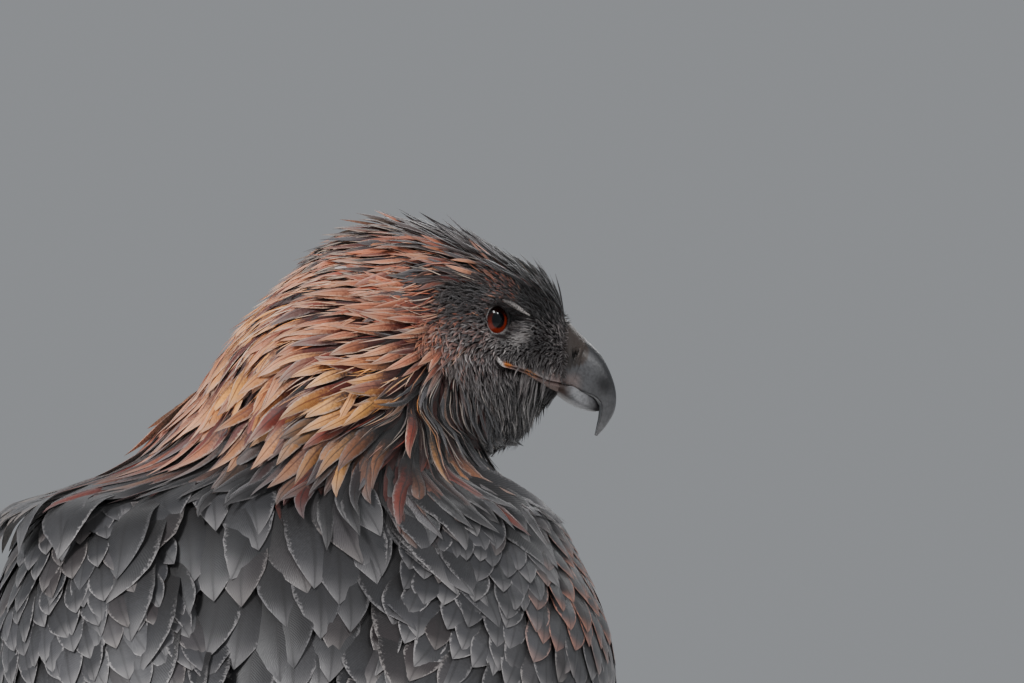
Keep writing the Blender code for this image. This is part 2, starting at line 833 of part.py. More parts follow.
def tube(path, girths, sides, floor, start, raises=None):
    """Skin a bent tube through points, each with its radius, over a floor; it starts squarely.

    The upper half of each ring may stand out by a factor of its own.
    """
    rings = []
    last = len(path) - 1
    for i, (middle, girth) in enumerate(zip(path, girths)):
        along = (path[min(i + 1, last)] - path[max(i - 1, 0)]).normalized()
        along = start if i == 0 else along
        first = along.cross(UP)
        first = first.normalized() if first.length > 0.05 else Vector((1.0, 0.0, 0.0))
        second = first.cross(along).normalized()
        ring = []
        for k in range(sides):
            t = 2 * math.pi * (k + 0.5) / sides
            offset = first * girth * math.cos(t) + second * girth * math.sin(t)
            if raises and offset.z > 0:
                offset *= raises[i]
            p = middle + offset
            p.z = max(p.z, floor)
            ring.append(p)
        rings.append(ring)
    return loft(rings)


TOE_SCUTES = 5


def toe_path(toe, sign):
    """Lay a toe's middle line along the floor, with its girth and how far its scutes stand out."""
    heading = math.radians(toe.heading * sign)
    out = Vector((-math.sin(heading), -math.cos(heading), 0.0))
    palm = Vector((-FOOT_X * sign, FOOT_Y, 0.0))
    path = []
    girths = []
    raises = []
    for k in range(TOE_SCUTES):
        for place, step in ((0.04, -0.05), (0.9, 0.09)):
            share = (k + place) / TOE_SCUTES
            pad = abs(math.sin(math.pi * (share * 3 + 0.12)))
            root = min(1.0, 0.74 + share)
            girth = toe.girth * root * (1.0 - 0.2 * share) * (0.86 + 0.16 * pad)
            reach = PALM_RADIUS - 4.0 + (toe.length + 4.0) * share
            height = girth * 0.92 + 2.2 * (1 - share) ** 2 + 1.5 * math.sin(math.pi * share)
            path.append(palm + out * reach + UP * height)
            girths.append(girth)
            raises.append(1 + step)
    path.append(palm + out * (PALM_RADIUS + toe.length + 1.5) + UP * path[-1].z)
    girths.append(girths[-1] * 0.94)
    raises.append(1.0)
    return path, girths, raises, out


def toe_mesh(toe, sign, grown_palm):
    """Make a toe that lies flat on its pads."""
    path, girths, raises, out = toe_path(toe, sign)
    return cut(tube(path, girths, 8, 0.0, out, raises), [grown_palm])


def claw_mesh(toe, sign):
    """Make a claw that arches forward from its toe and comes down to a point."""
    path, _, _, out = toe_path(toe, sign)
    start = path[-1] + out * GAP
    bend = math.radians(128)
    radius = toe.claw_length / bend
    rise = math.radians(34)
    path = []
    girths = []
    steps = 5
    for i in range(steps + 1):
        turn = bend * i / steps
        forward = radius * (math.sin(rise) + math.sin(turn - rise))
        up = radius * (math.cos(turn - rise) - math.cos(rise))
        path.append(start + out * forward + UP * up)
        girths.append(toe.claw_girth * (1 - i / (steps + 0.6)) ** 0.8)
    lift = min((p.z - g) for p, g in zip(path, girths))
    drop = max(0.0, 0.4 - lift)
    path = [p + UP * drop * (i / steps) ** 2 for i, p in enumerate(path)]
    return tube(path, girths, 6, 0.3, out)


def palm_mesh(sign, grow=0.0):
    """Make the ball of the foot, flat where it stands."""
    centre = Vector((-FOOT_X * sign, FOOT_Y, PALM_HEIGHT))
    radius = PALM_RADIUS + grow
    mesh = ball(centre, (radius, radius, PALM_HEIGHT + grow), 12, 7)
    for vertex in mesh.vertices:
        vertex.co.z = max(vertex.co.z, 0.0)
    return mesh


# The feathered leg: forward-back place, height, half width across and half depth along
TARSUS_PATH = ((FOOT_Y, 14, 13, 14), (FOOT_Y + 4, 34, 14, 15.5), (FOOT_Y + 11, 60, 15.5, 17.5),
               (FOOT_Y + 17, 84, 17.5, 20))
THIGH_PATH = ((FOOT_Y + 17.3, 84.3, 21, 25), (FOOT_Y + 19, 112, 27, 34), (FOOT_Y + 14, 145, 35, 49),
              (FOOT_Y + 7, 180, 41, 61), (FOOT_Y + 3, 212, 42, 67), (FOOT_Y, 243, 36, 64),
              (FOOT_Y, 272, 22, 46))


THIGH_TABLE = tuple((z, y, half, deep) for y, z, half, deep in THIGH_PATH)
TARSUS_TABLE = tuple((z, y, half, deep) for y, z, half, deep in TARSUS_PATH)
LEG_LEAN = 0.1


def leg_place(z):
    """Give how far out from the middle a leg is at a height; it leans in above the hock."""
    return FOOT_X - LEG_LEAN * max(0.0, z - THIGH_PATH[0][1])


# The trousers' long feathers: height of the roots, number, length and half width
TROUSERS = (134.0, 7, 56.0, 11.5)
TROUSER_ROWS = ((0, 0.5, -4.0), (0.4, 1.0, 1.6), (0.75, 0.9, 2.4), (1.0, 0.12, 3.4))


def leg_ring(table, sign, z, height=0.0):
    """Make a level ring of a leg, 14 points round."""
    turns = [2 * math.pi * i / 14 for i in range(14)]
    return [leg_point(table, sign, z, t, height) for t in turns]


def leg_point(table, sign, z, turn, height):
    """Place a point on a leg's level ring, raised by a height."""
    y, half, deep = (between(table, z, column) for column in (1, 2, 3))
    across = (half + height) * math.sin(turn)
    return Vector((-sign * leg_place(z) + across, y + (deep + height) * math.cos(turn), z))


def tarsus_mesh(sign):
    """Make the lower leg in its short feathers, on the ball of the foot."""
    rings = [leg_ring(TARSUS_TABLE, sign, z) for z in (84, 68, 51, 34, 14)]
    return union(loft(rings), [palm_mesh(sign)])


def trousers(sign):
    """Hang the long feathers of the thigh over the top of the tarsus."""
    top, count, length, half = TROUSERS
    found = []
    for k in range(count):
        turn = 2 * math.pi * (k + 0.5) / count
        upper = []
        lower = []
        for along, share, rise in TROUSER_ROWS:
            z = top - length * along
            middle = leg_point(THIGH_TABLE, sign, z, turn, rise)
            out = (middle - leg_point(THIGH_TABLE, sign, z, turn, rise - 1.0)).normalized()
            across = Vector((out.y, -out.x, 0.0)).normalized() * half * share
            for side, row in ((0.5, upper), (-0.5, lower)):
                spot = middle + out * VANE_THICKNESS * side
                row.append([spot - across, spot + across])
        found.append(vane_mesh(upper, lower))
    return found


def thigh_mesh(sign, grown_torso):
    """Make a thigh in its trousers."""
    heights = (272, 258, 243, 228, 212, 196, 180, 162, 145, 128, 112, 98, 84.3)
    core = loft([leg_ring(THIGH_TABLE, sign, z) for z in heights])
    return union(cut(core, [grown_torso]), trousers(sign))


def build():
    """Model the whole bird."""
    plume = material("brown_plumage", (0.12, 0.075, 0.05), 0.8)
    hackle = material("golden_hackles", (0.45, 0.2, 0.09), 0.75)
    horn = material("bill_horn", (0.09, 0.095, 0.11), 0.35)
    skin = material("yellow_skin", (0.75, 0.42, 0.08), 0.5)
    iris = material("amber_eye", (0.35, 0.08, 0.02), 0.08)
    talon = material("black_claw", (0.02, 0.02, 0.022), 0.3)

    grown_torso = torso_mesh(GAP)
    node("torso", torso_mesh(), plume)
    node("neck", union(neck_mesh(), hackles()), hackle)
    openings = [eye_window(1), eye_window(-1)]
    head = cut(head_mesh(), openings)
    relief = [f(s) for f in (eyelids, brow) for s in (1, -1)] + lips(1) + lips(-1)
    head = union(head, relief + crown_feathers())
    head = cut(head, [mouth(1), mouth(-1)])
    sockets = [ball(eye_centre(s), [EYE_RADIUS + GAP] * 3, 12, 6) for s in (1, -1)]
    node("head", cut(head, sockets), hackle)
    for side, sign in (("right", 1), ("left", -1)):
        node(f"eye_{side}", ball(eye_centre(sign), [EYE_RADIUS] * 3, 12, 6), iris)
        node(f"wing_{side}", union(wing_mesh(sign, grown_torso), wing_feathers(sign)), plume)
        node(f"thigh_{side}", thigh_mesh(sign, grown_torso), plume)
        node(f"tarsus_{side}", tarsus_mesh(sign), plume)
        grown_palm = palm_mesh(sign, GAP)
        for toe in TOES:
            node(f"toe_{toe.name}_{side}", toe_mesh(toe, sign, grown_palm), skin)
            node(f"claw_{toe.name}_{side}", claw_mesh(toe, sign), talon)
    node("tail", union(tail_core(), tail_feathers()), plume)
    cere = bill_loft(CERE_RINGS, BILL_SECTION, False)
    node("cere", cut(cere, [nostril(1), nostril(-1)]), skin)
    node("bill_upper", bill_loft(BILL_RINGS, BILL_SECTION, False), horn)
    node("bill_lower", bill_loft(LOWER_BILL_RINGS, LOWER_SECTION, True), horn)


for item in list(bpy.data.objects):
    bpy.data.objects.remove(item)
build()
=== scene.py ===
"""The looks of a standing golden eagle that turns its head over its right shoulder.

Shapes are worked out in millimetres from the same rings as the solids, and written in metres.
"""
import math

import bpy
import numpy as np
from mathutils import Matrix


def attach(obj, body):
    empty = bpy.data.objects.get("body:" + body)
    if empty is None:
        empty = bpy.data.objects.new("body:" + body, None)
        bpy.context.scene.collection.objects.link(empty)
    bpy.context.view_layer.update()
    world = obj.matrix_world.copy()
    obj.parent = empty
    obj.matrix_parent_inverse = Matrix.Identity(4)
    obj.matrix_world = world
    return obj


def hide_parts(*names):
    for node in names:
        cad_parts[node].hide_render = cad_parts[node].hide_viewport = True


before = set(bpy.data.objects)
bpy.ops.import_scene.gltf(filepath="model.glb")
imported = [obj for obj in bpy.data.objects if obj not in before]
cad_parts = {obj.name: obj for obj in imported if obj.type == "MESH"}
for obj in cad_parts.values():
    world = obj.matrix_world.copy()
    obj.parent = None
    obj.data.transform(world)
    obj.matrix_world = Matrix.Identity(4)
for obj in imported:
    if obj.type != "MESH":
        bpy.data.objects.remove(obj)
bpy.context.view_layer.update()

MM = 0.001
MIDDLE_Y = 115.0
RNG = np.random.default_rng(11)

# The head's frame: how far it is turned, the right pupil and how far that is from the midplane
HEAD_TURN = math.radians(82.0)
FRONT = np.array([-math.sin(HEAD_TURN), -math.cos(HEAD_TURN), 0.0])
RIGHT = np.array([FRONT[1], -FRONT[0], 0.0])
UP = np.array([0.0, 0.0, 1.0])
PUPIL = np.array([-83.0, -31.0, 604.4])
PUPIL_SIDE = 24.2
EYE_RADIUS = 8.5
EYE_OPENING = 6.1
EYE_ANGLE = math.radians(57.0)
EYE_CURVE = 12.5

# The trunk's rings: place, turn, lean, reach to the back, reach to the belly, half width
BODY_STATIONS = (
    (0, 330, 44, 0, 50, 8, 10, 54),
    (0, 258, 104, 0, 50, 11, 14, 58),
    (0, 188, 160, 0, 48, 17, 20, 56),
    (0, 125, 215, 0, 45, 28, 29, 50),
    (0, 95, 245, 0, 46, 52, 55, 66),
    (0, 55, 290, 0, 44, 78, 85, 90),
    (1, 15, 345, 0, 38, 98, 105, 104),
    (2, -18, 405, 0, 28, 102, 112, 112),
    (3, -35, 465, 0, 15, 92, 100, 111),
    (4, -42, 515, 4, 6, 74, 80, 96),
    (-11, -48, 545, 32, 2, 62, 62, 71),
)

# Rings of the head seen from behind: crown point, throat point, half width and turn
HEAD_RINGS = (
    ((-120, -15), (-5, -58), 60, 68),
    ((-100, 10), (5, -52), 53, 79),
    ((-75, 31), (10, -47), 43, 82),
    ((-50, 39), (14, -42.5), 36.5, 82),
    ((-25, 36), (17, -39), 33, 82),
    ((-2, 28.5), (19, -36.5), 27.5, 82),
    ((15, 19.5), (22, -35), 20, 82),
    ((25, 9.5), (24.5, -34.5), 14.5, 82),
    ((28.6, 1.2), (27.2, -33.5), 12, 82),
)

# The folded wing: station, edges in degrees from the back, and thickness
WING_TOP = 9.5
WING_SHAPE = np.array((
    (0.2, 16, 38, 4),
    (0.55, 8, 48, 4.5),
    (1, 4, 54, 6),
    (2, 4, 66, 9),
    (3, 4, 80, 12),
    (4, 4, 97, 16),
    (5, 5, 108, 20),
    (6, 10, 110, 24),
    (7, 15, 114, 25),
    (8, 24, 122, 24),
    (9, 36, 116, 20),
    (9.5, 44, 104, 14),
), float)
WING_EDGE = 3.0


def head_point(forward, up, side):
    """Place points by their distances forward and up from the pupil and out to the right."""
    forward, up, side = (np.asarray(v, float)[..., None] for v in (forward, up, side))
    return PUPIL + FRONT * forward + UP * up + RIGHT * (side - PUPIL_SIDE)


def outline_point(across, up, side=0.0):
    """Place points of the head's outline as read from behind, moved out to the right."""
    level = RIGHT[0] * PUPIL_SIDE
    forward = (level - np.asarray(across, float)) / FRONT[0]
    return head_point(forward, up, np.asarray(side, float) + 0.0 * forward)


def head_station(ring):
    """Turn a ring of the head into the numbers of a trunk ring."""
    (crown_a, crown_b), (throat_a, throat_b), side, turn = ring
    half_a = (crown_a - throat_a) / 2
    half_b = (crown_b - throat_b) / 2
    reach = math.hypot(half_a, half_b)
    lean = math.degrees(math.atan2(half_b, -half_a))
    x, y, z = outline_point((crown_a + throat_a) / 2, (crown_b + throat_b) / 2)
    return (x, y, z, turn, lean, reach, reach, side)


STATIONS = np.array(BODY_STATIONS + tuple(map(head_station, HEAD_RINGS)), float)


def curve_at(rows, s):
    """Read smooth curves through equally spaced rows, for an array of places."""
    last = len(rows) - 1
    s = np.clip(s, -0.4, last + 0.4)
    i = np.clip(np.floor(s).astype(int), 0, last - 1)
    t = (s - i)[..., None]
    p0, p1 = rows[np.maximum(i - 1, 0)], rows[i]
    p2, p3 = rows[i + 1], rows[np.minimum(i + 2, last)]
    bend = (2 * p0 - 5 * p1 + 4 * p2 - p3) * t * t + (3 * p1 - p0 - 3 * p2 + p3) * t ** 3
    return p1 + 0.5 * ((p2 - p0) * t + bend)


def unit(v):
    """Give vectors the length 1."""
    return v / np.maximum(np.linalg.norm(v, axis=-1, keepdims=True), 1e-12)


def ramp(value, low, high):
    """Rise smoothly from 0 to 1 between two values."""
    t = np.clip((value - low) / (high - low), 0, 1)
    return t * t * (3 - 2 * t)


def skin_point(s, angle, height):
    """Place points on the body's rings at angles from the back, raised by heights."""
    s, angle, height = np.broadcast_arrays(*(np.asarray(v, float) for v in (s, angle, height)))
    here = curve_at(STATIONS, s)
    turn, lean, theta = np.radians(here[..., 3]), np.radians(here[..., 4]), np.radians(angle)
    front = np.stack([-np.sin(turn), -np.cos(turn), 0 * turn], -1)
    dorsal = -np.cos(lean)[..., None] * front + np.sin(lean)[..., None] * UP
    right = np.stack([front[..., 1], -front[..., 0], 0 * turn], -1)
    reach = np.where(np.cos(theta) > 0, here[..., 5], here[..., 6])
    side = right * (np.sin(theta) * (here[..., 7] + height))[..., None]
    return here[..., :3] + side + dorsal * (np.cos(theta) * (reach + height))[..., None]


def eye_axis(sign):
    """Give the direction in which an eye looks; the right eye has sign +1."""
    return FRONT * math.cos(EYE_ANGLE) + RIGHT * sign * math.sin(EYE_ANGLE)


def eye_centre(sign):
    """Place the middle of an eyeball behind its pupil."""
    return head_point(0.0, 0.0, PUPIL_SIDE * sign) - eye_axis(sign) * EYE_RADIUS


LID_REACH = EYE_RADIUS - EYE_CURVE + math.sqrt(EYE_CURVE ** 2 - EYE_OPENING ** 2)


def face_relief(p):
    """Press the eye sockets into the face and raise a brow over them."""
    p = p.copy()
    for sign in (1, -1):
        axis = eye_axis(sign)
        across = unit(np.cross(axis, UP))
        rise = np.cross(across, axis)
        d = p - eye_centre(sign)
        along = d @ axis
        x, y = d @ across * -sign, d @ rise
        r = np.hypot(x, y)
        near = ramp(along, -9, -4) * ramp(26 - r, 0, 8)
        rim = LID_REACH + 0.5 + (r - EYE_OPENING) * 0.3
        under = LID_REACH - 0.6 - (EYE_OPENING - r) * 1.1
        goal = np.where(r > EYE_OPENING, rim, under)
        press = (1 - ramp(r, EYE_OPENING + 0.8, 12.5)) * near
        line = 9.2 - 0.42 * np.clip(x, 0, 20) - 0.02 * np.clip(x, -20, 0) ** 2
        brow = np.exp(-((y - line) / 2.6) ** 2 - ((x - 2) / 13.0) ** 4) * near
        hollow = np.exp(-((y - 1.5) / 3.0) ** 2 - ((x - 9.5) / 4.5) ** 2) * near
        cheek = np.exp(-((y + 10.0) / 4.5) ** 2 - (x / 9.0) ** 2) * near
        move = (goal - along) * press + 2.9 * brow * (1 - 0.3 * press) + 0.7 * cheek - 2.2 * hollow
        p += axis * move[..., None]
    return p


def body_place(s, angle, height):
    """Place points on the trunk, neck and head, with the face's relief."""
    return face_relief(skin_point(s, angle, height))


def wing_edges(s):
    """Give the wing's two edges in degrees and its thickness."""
    return [np.interp(s, WING_SHAPE[:, 0], WING_SHAPE[:, k]) for k in (1, 2, 3)]


def wing_place(sign):
    """Give the function that places points on a folded wing's outside; q runs from 0 to 1."""
    def place(s, q, height):
        s, q, height = np.broadcast_arrays(*(np.asarray(v, float) for v in (s, q, height)))
        dorsal, ventral, thick = wing_edges(s)
        top = np.minimum(1.0, (WING_TOP - s) / 0.5 + 0.35)
        arch = np.sin(np.pi * np.clip(q, 0.0, 1.0)) ** 0.6
        lift = WING_EDGE + (thick * top - WING_EDGE) * arch
        return skin_point(s, sign * (dorsal + (ventral - dorsal) * q), lift + height)
    return place


FOOT_X = 62.0
FOOT_Y = 8.0
THIGH = np.array((
    (84.3, FOOT_Y + 17.3, 21, 25),
    (112, FOOT_Y + 19, 27, 34),
    (145, FOOT_Y + 14, 35, 49),
    (180, FOOT_Y + 7, 41, 61),
    (212, FOOT_Y + 3, 42, 67),
    (243, FOOT_Y, 36, 64),
    (272, FOOT_Y, 22, 46),
), float)
TARSUS = np.array((
    (14, FOOT_Y, 13, 14),
    (34, FOOT_Y + 4, 14, 15.5),
    (60, FOOT_Y + 11, 15.5, 17.5),
    (84, FOOT_Y + 17, 17.5, 20),
    (112, FOOT_Y + 19, 20, 24),
), float)
LEG_LEAN = 0.1

# The flank's feathers hang from the belly over the tops of the thighs
FLANK = np.array((
    (200, FOOT_Y + 5, 43, 67),
    (222, FOOT_Y + 2, 43, 68),
    (243, FOOT_Y, 41, 68),
    (262, FOOT_Y, 42, 66),
    (285, FOOT_Y, 46, 71),
    (305, FOOT_Y, 50, 80),
), float)


def leg_place(sign, table):
    """Give the function that places points on a leg's level rings."""
    def place(z, angle, height):
        z, angle, height = np.broadcast_arrays(*(np.asarray(v, float) for v in (z, angle, height)))
        y, half, deep = (np.interp(z, table[:, 0], table[:, k]) for k in (1, 2, 3))
        turn = np.radians(angle)
        x = -sign * (FOOT_X - LEG_LEAN * np.maximum(0.0, z - THIGH[0, 0])) + (half + height) * np.sin(turn)
        return np.stack([x, y + (deep + height) * np.cos(turn), z], -1)
    return place


def srgb(*rgb):
    """Turn a colour given in 0 to 255 into linear light."""
    c = np.array(rgb, float) / 255
    return np.where(c > 0.04045, ((c + 0.055) / 1.055) ** 2.4, c / 12.92)


def make_mesh(name, points, quads, tris, uvs, attributes=()):
    """Make a smooth mesh object from arrays; uvs and attributes hold a row for each point."""
    mesh = bpy.data.meshes.new(name)
    world = (points - np.array([0.0, MIDDLE_Y, 0.0])) * MM
    corners = np.concatenate([quads.ravel(), tris.ravel()]).astype(np.int32)
    sizes = np.concatenate([np.full(len(quads), 4), np.full(len(tris), 3)]).astype(np.int32)
    mesh.vertices.add(len(world))
    mesh.vertices.foreach_set("co", world.astype(np.float32).ravel())
    mesh.loops.add(len(corners))
    mesh.loops.foreach_set("vertex_index", corners)
    mesh.polygons.add(len(sizes))
    mesh.polygons.foreach_set("loop_start", np.concatenate([[0], np.cumsum(sizes)[:-1]]).astype(np.int32))
    mesh.polygons.foreach_set("use_smooth", np.ones(len(sizes), bool))
    mesh.update(calc_edges=True)
    for layer, values in uvs.items():
        mesh.uv_layers.new(name=layer).uv.foreach_set("vector", values[corners].astype(np.float32).ravel())
    for layer, values in dict(attributes).items():
        full = np.ones((len(world), 4), np.float32)
        full[:, :values.shape[1]] = values
        mesh.attributes.new(layer, "FLOAT_COLOR", "POINT").data.foreach_set("color", full.ravel())
    mesh.validate()
    made = bpy.data.objects.new(name, mesh)
    bpy.context.scene.collection.objects.link(made)
    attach(made, "root")
    return made


def face_out(points, quads, tris, bodies=1, inside=None):
    """Turn the faces of each body outward; the bodies have equal numbers of points and faces."""
    middle = points.reshape(bodies, -1, 3).mean(1) if inside is None else np.array([inside], float)
    total = np.zeros(bodies)
    for a, b, c in (quads[:, [0, 1, 2]].T, quads[:, [0, 2, 3]].T, tris.T):
        base = np.repeat(middle, len(a) // bodies, 0)
        size = np.sum((points[a] - base) * np.cross(points[b] - base, points[c] - base), 1)
        total += size.reshape(bodies, -1).sum(1) if len(a) else 0.0
    turned = []
    for faces in (quads, tris):
        sets = faces.reshape(bodies, -1, faces.shape[1])
        turned.append(np.where(total[:, None, None] < 0, sets[..., ::-1], sets).reshape(faces.shape))
    return turned


def grid_faces(rows, columns, wrap, start=0):
    """Give the quads of a grid of points, closed across if it wraps."""
    r, c = np.meshgrid(np.arange(rows - 1), np.arange(columns - (0 if wrap else 1)), indexing="ij")
    a = r * columns + c
    b = r * columns + (c + 1) % columns
    return np.stack([a, b, b + columns, a + columns], -1).reshape(-1, 4) + start


# Where each part of the skin lies on the unwrap: left, bottom, width and height
PATCHES = {
    "body": (0.01, 0.01, 0.5, 0.98),
    "wing_right": (0.53, 0.5, 0.2, 0.49),
    "wing_left": (0.75, 0.5, 0.2, 0.49),
    "leg_right": (0.53, 0.01, 0.12, 0.46),
    "leg_left": (0.67, 0.01, 0.12, 0.46),
    "tail": (0.81, 0.01, 0.17, 0.46),
}
TUFT = 0.003
NO_TRIS = np.zeros((0, 3), int)
TRUNK = (0.0, 45.0, 400.0)


def unwrapped(patch, across, along):
    """Place points on the unwrap by their shares across and along a part of the skin."""
    left, low, wide, tall = PATCHES[patch]
    across, along = np.broadcast_arrays(across, along)
    return np.stack([left + wide * np.clip(across, 0, 1), low + tall * np.clip(along, 0, 1)], -1)


class Surface:
    """A part of the skin: how its points are placed, its ranges and its patch of the unwrap."""

    def __init__(self, place, patch, s_range, a_range):
        self.place = place
        self.patch = patch
        self.s_range = s_range
        self.a_range = a_range
        self.slowest = 76.0 / (s_range[1] - s_range[0])

    def unwrap(self, s, a):
        """Place points on the unwrap."""
        (s0, s1), (a0, a1) = self.s_range, self.a_range
        around = (a - a0) / (a1 - a0)
        if a1 - a0 == 360:
            around = np.mod(around, 1.0)
        return unwrapped(self.patch, around, (s - s0) / (s1 - s0))

    def steps(self, s, a, height):
        """Give points with their change along the part and across it, and the way out."""
        ds, da = 0.002 * (self.s_range[1] - self.s_range[0]), 0.002 * (self.a_range[1] - self.a_range[0])
        here = self.place(s, a, height)
        along = (self.place(s + ds, a, height) - here) / ds
        across = (self.place(s, a + da, height) - here) / da
        normal = np.cross(along, across)
        out = self.place(s, a, height + 1.0) - here
        normal *= np.sign(np.sum(normal * out, -1, keepdims=True))
        return here, along, across, unit(normal)


BODY = Surface(body_place, "body", (0.0, 19.0), (-180.0, 180.0))
WINGS = {sign: Surface(wing_place(sign), side, (0.2, 9.5), (0.0, 1.0))
         for sign, side in ((1, "wing_right"), (-1, "wing_left"))}
THIGHS = {sign: Surface(leg_place(sign, THIGH), side, (14.0, 272.0), (-180.0, 180.0))
          for sign, side in ((1, "leg_right"), (-1, "leg_left"))}
FLANKS = {sign: Surface(leg_place(sign, FLANK), side, (14.0, 272.0), (-180.0, 180.0))
          for sign, side in ((1, "leg_right"), (-1, "leg_left"))}
TARSI = {sign: Surface(leg_place(sign, TARSUS), side, (14.0, 272.0), (-180.0, 180.0))
         for sign, side in ((1, "leg_right"), (-1, "leg_left"))}


def scatter(surface, s_range, a_range, along, across, jitter=0.35):
    """Spread roots over a part in staggered rows; the gaps are in millimetres and may depend on s."""
    found_s, found_a = [], []
    s = s_range[1]
    a = np.linspace(*a_range, 49)
    odd = 0
    while s > s_range[0]:
        gap_along = along(s) if callable(along) else along
        gap_across = across(s) if callable(across) else across
        ring = surface.place(s, a, 0.0)
        lengths = np.concatenate([[0.0], np.cumsum(np.linalg.norm(np.diff(ring, axis=0), axis=1))])
        count = max(3, int(lengths[-1] / gap_across))
        spots = (np.arange(count) + 0.25 + 0.5 * odd + RNG.uniform(-jitter, jitter, count)) / count
        here = surface.place(s, a, 0.0)
        pace = np.linalg.norm(surface.place(s + 0.01, a, 0.0) - here, axis=1) / 0.01
        at = np.interp(spots * lengths[-1], lengths, a)
        drop = gap_along / np.interp(at, a, pace)
        found_s.append(s + RNG.uniform(-jitter, jitter, count) * drop)
        found_a.append(at)
        s -= gap_along / pace.max()
        odd = 1 - odd
    s, a = np.concatenate(found_s), np.concatenate(found_a)
    keep = (s > s_range[0]) & (s < s_range[1])
    return s[keep], a[keep]


class Vanes:
    """A growing set of feathers that becomes one mesh."""

    def __init__(self, columns=3):
        self.columns = columns
        self.points, self.quads, self.tris = [], [], []
        self.bake, self.border, self.values = [], [], {"tint": [], "rim": [], "deep": [], "vane": []}
        self.count = 0

    def add(self, rows, tip, home, tint, rim, deep, shares):
        """Add feathers from rows of points across, at shares of the length, and tips."""
        n, k, c = rows.shape[:3]
        size = c * k + 1
        points = np.concatenate([rows.reshape(n, c * k, 3), tip[:, None]], 1)
        start = self.count + size * np.arange(n)
        quads = []
        for r in range(k - 1):
            a = c * r
            quads += [(a + i, a + i + 1, a + i + 1 + c, a + i + c) for i in range(c - 1)]
            quads.append((a + c - 1, a, a + c, a + 2 * c - 1))
        a = c * (k - 1)
        tris = [(a + i, a + (i + 1) % c, size - 1) for i in range(c)]
        tris += [(0, i + 1, i) for i in range(1, c - 1)]
        self.points.append(points.reshape(-1, 3))
        start = start - self.count
        quads, tris = ((start[:, None, None] + np.array(faces)).reshape(-1, len(faces[0])) for faces in (quads, tris))
        quads, tris = face_out(self.points[-1], quads, tris, n)
        self.quads.append(quads + self.count)
        self.tris.append(tris + self.count)
        across = np.linspace(-1, 1, c)
        u = np.append(np.tile(across, k), 0.0)
        v = np.append(np.repeat(shares[:-1], c), 1.0)
        patch = np.stack([u / 2, v - 0.5], -1) * TUFT
        self.bake.append((home[:, None] + patch).reshape(-1, 2))
        edge = np.append(np.tile(np.where(across == -1, 1, np.where(across == 1, 2, 0)), k), 3)
        self.border.append(np.tile(edge, n))
        dice = RNG.random(n)
        vane = np.stack([np.tile(np.abs(u), (n, 1)), np.tile(v, (n, 1)), np.tile(dice[:, None], (1, size))], -1)
        self.values["vane"].append(vane.reshape(-1, 3))
        for key, value in (("tint", tint), ("rim", rim), ("deep", deep)):
            self.values[key].append(np.repeat(value, size, 0))
        self.count += n * size

    def make(self, name, material):
        """Make the mesh, with the feathers' long edges kept sharp."""
        made = make_mesh(name, np.concatenate(self.points), np.concatenate(self.quads),
                         np.concatenate(self.tris), {"OFBake": np.concatenate(self.bake)},
                         {key: np.concatenate(value) for key, value in self.values.items()})
        ends = np.zeros(2 * len(made.data.edges), np.int32)
        made.data.edges.foreach_get("vertices", ends)
        one, two = np.concatenate(self.border)[ends].reshape(-1, 2).T
        sharp = (one & two) > 0
        made.data.attributes.new("sharp_edge", "BOOLEAN", "EDGE").data.foreach_set("value", sharp)
        made.data.materials.append(material)
        return made


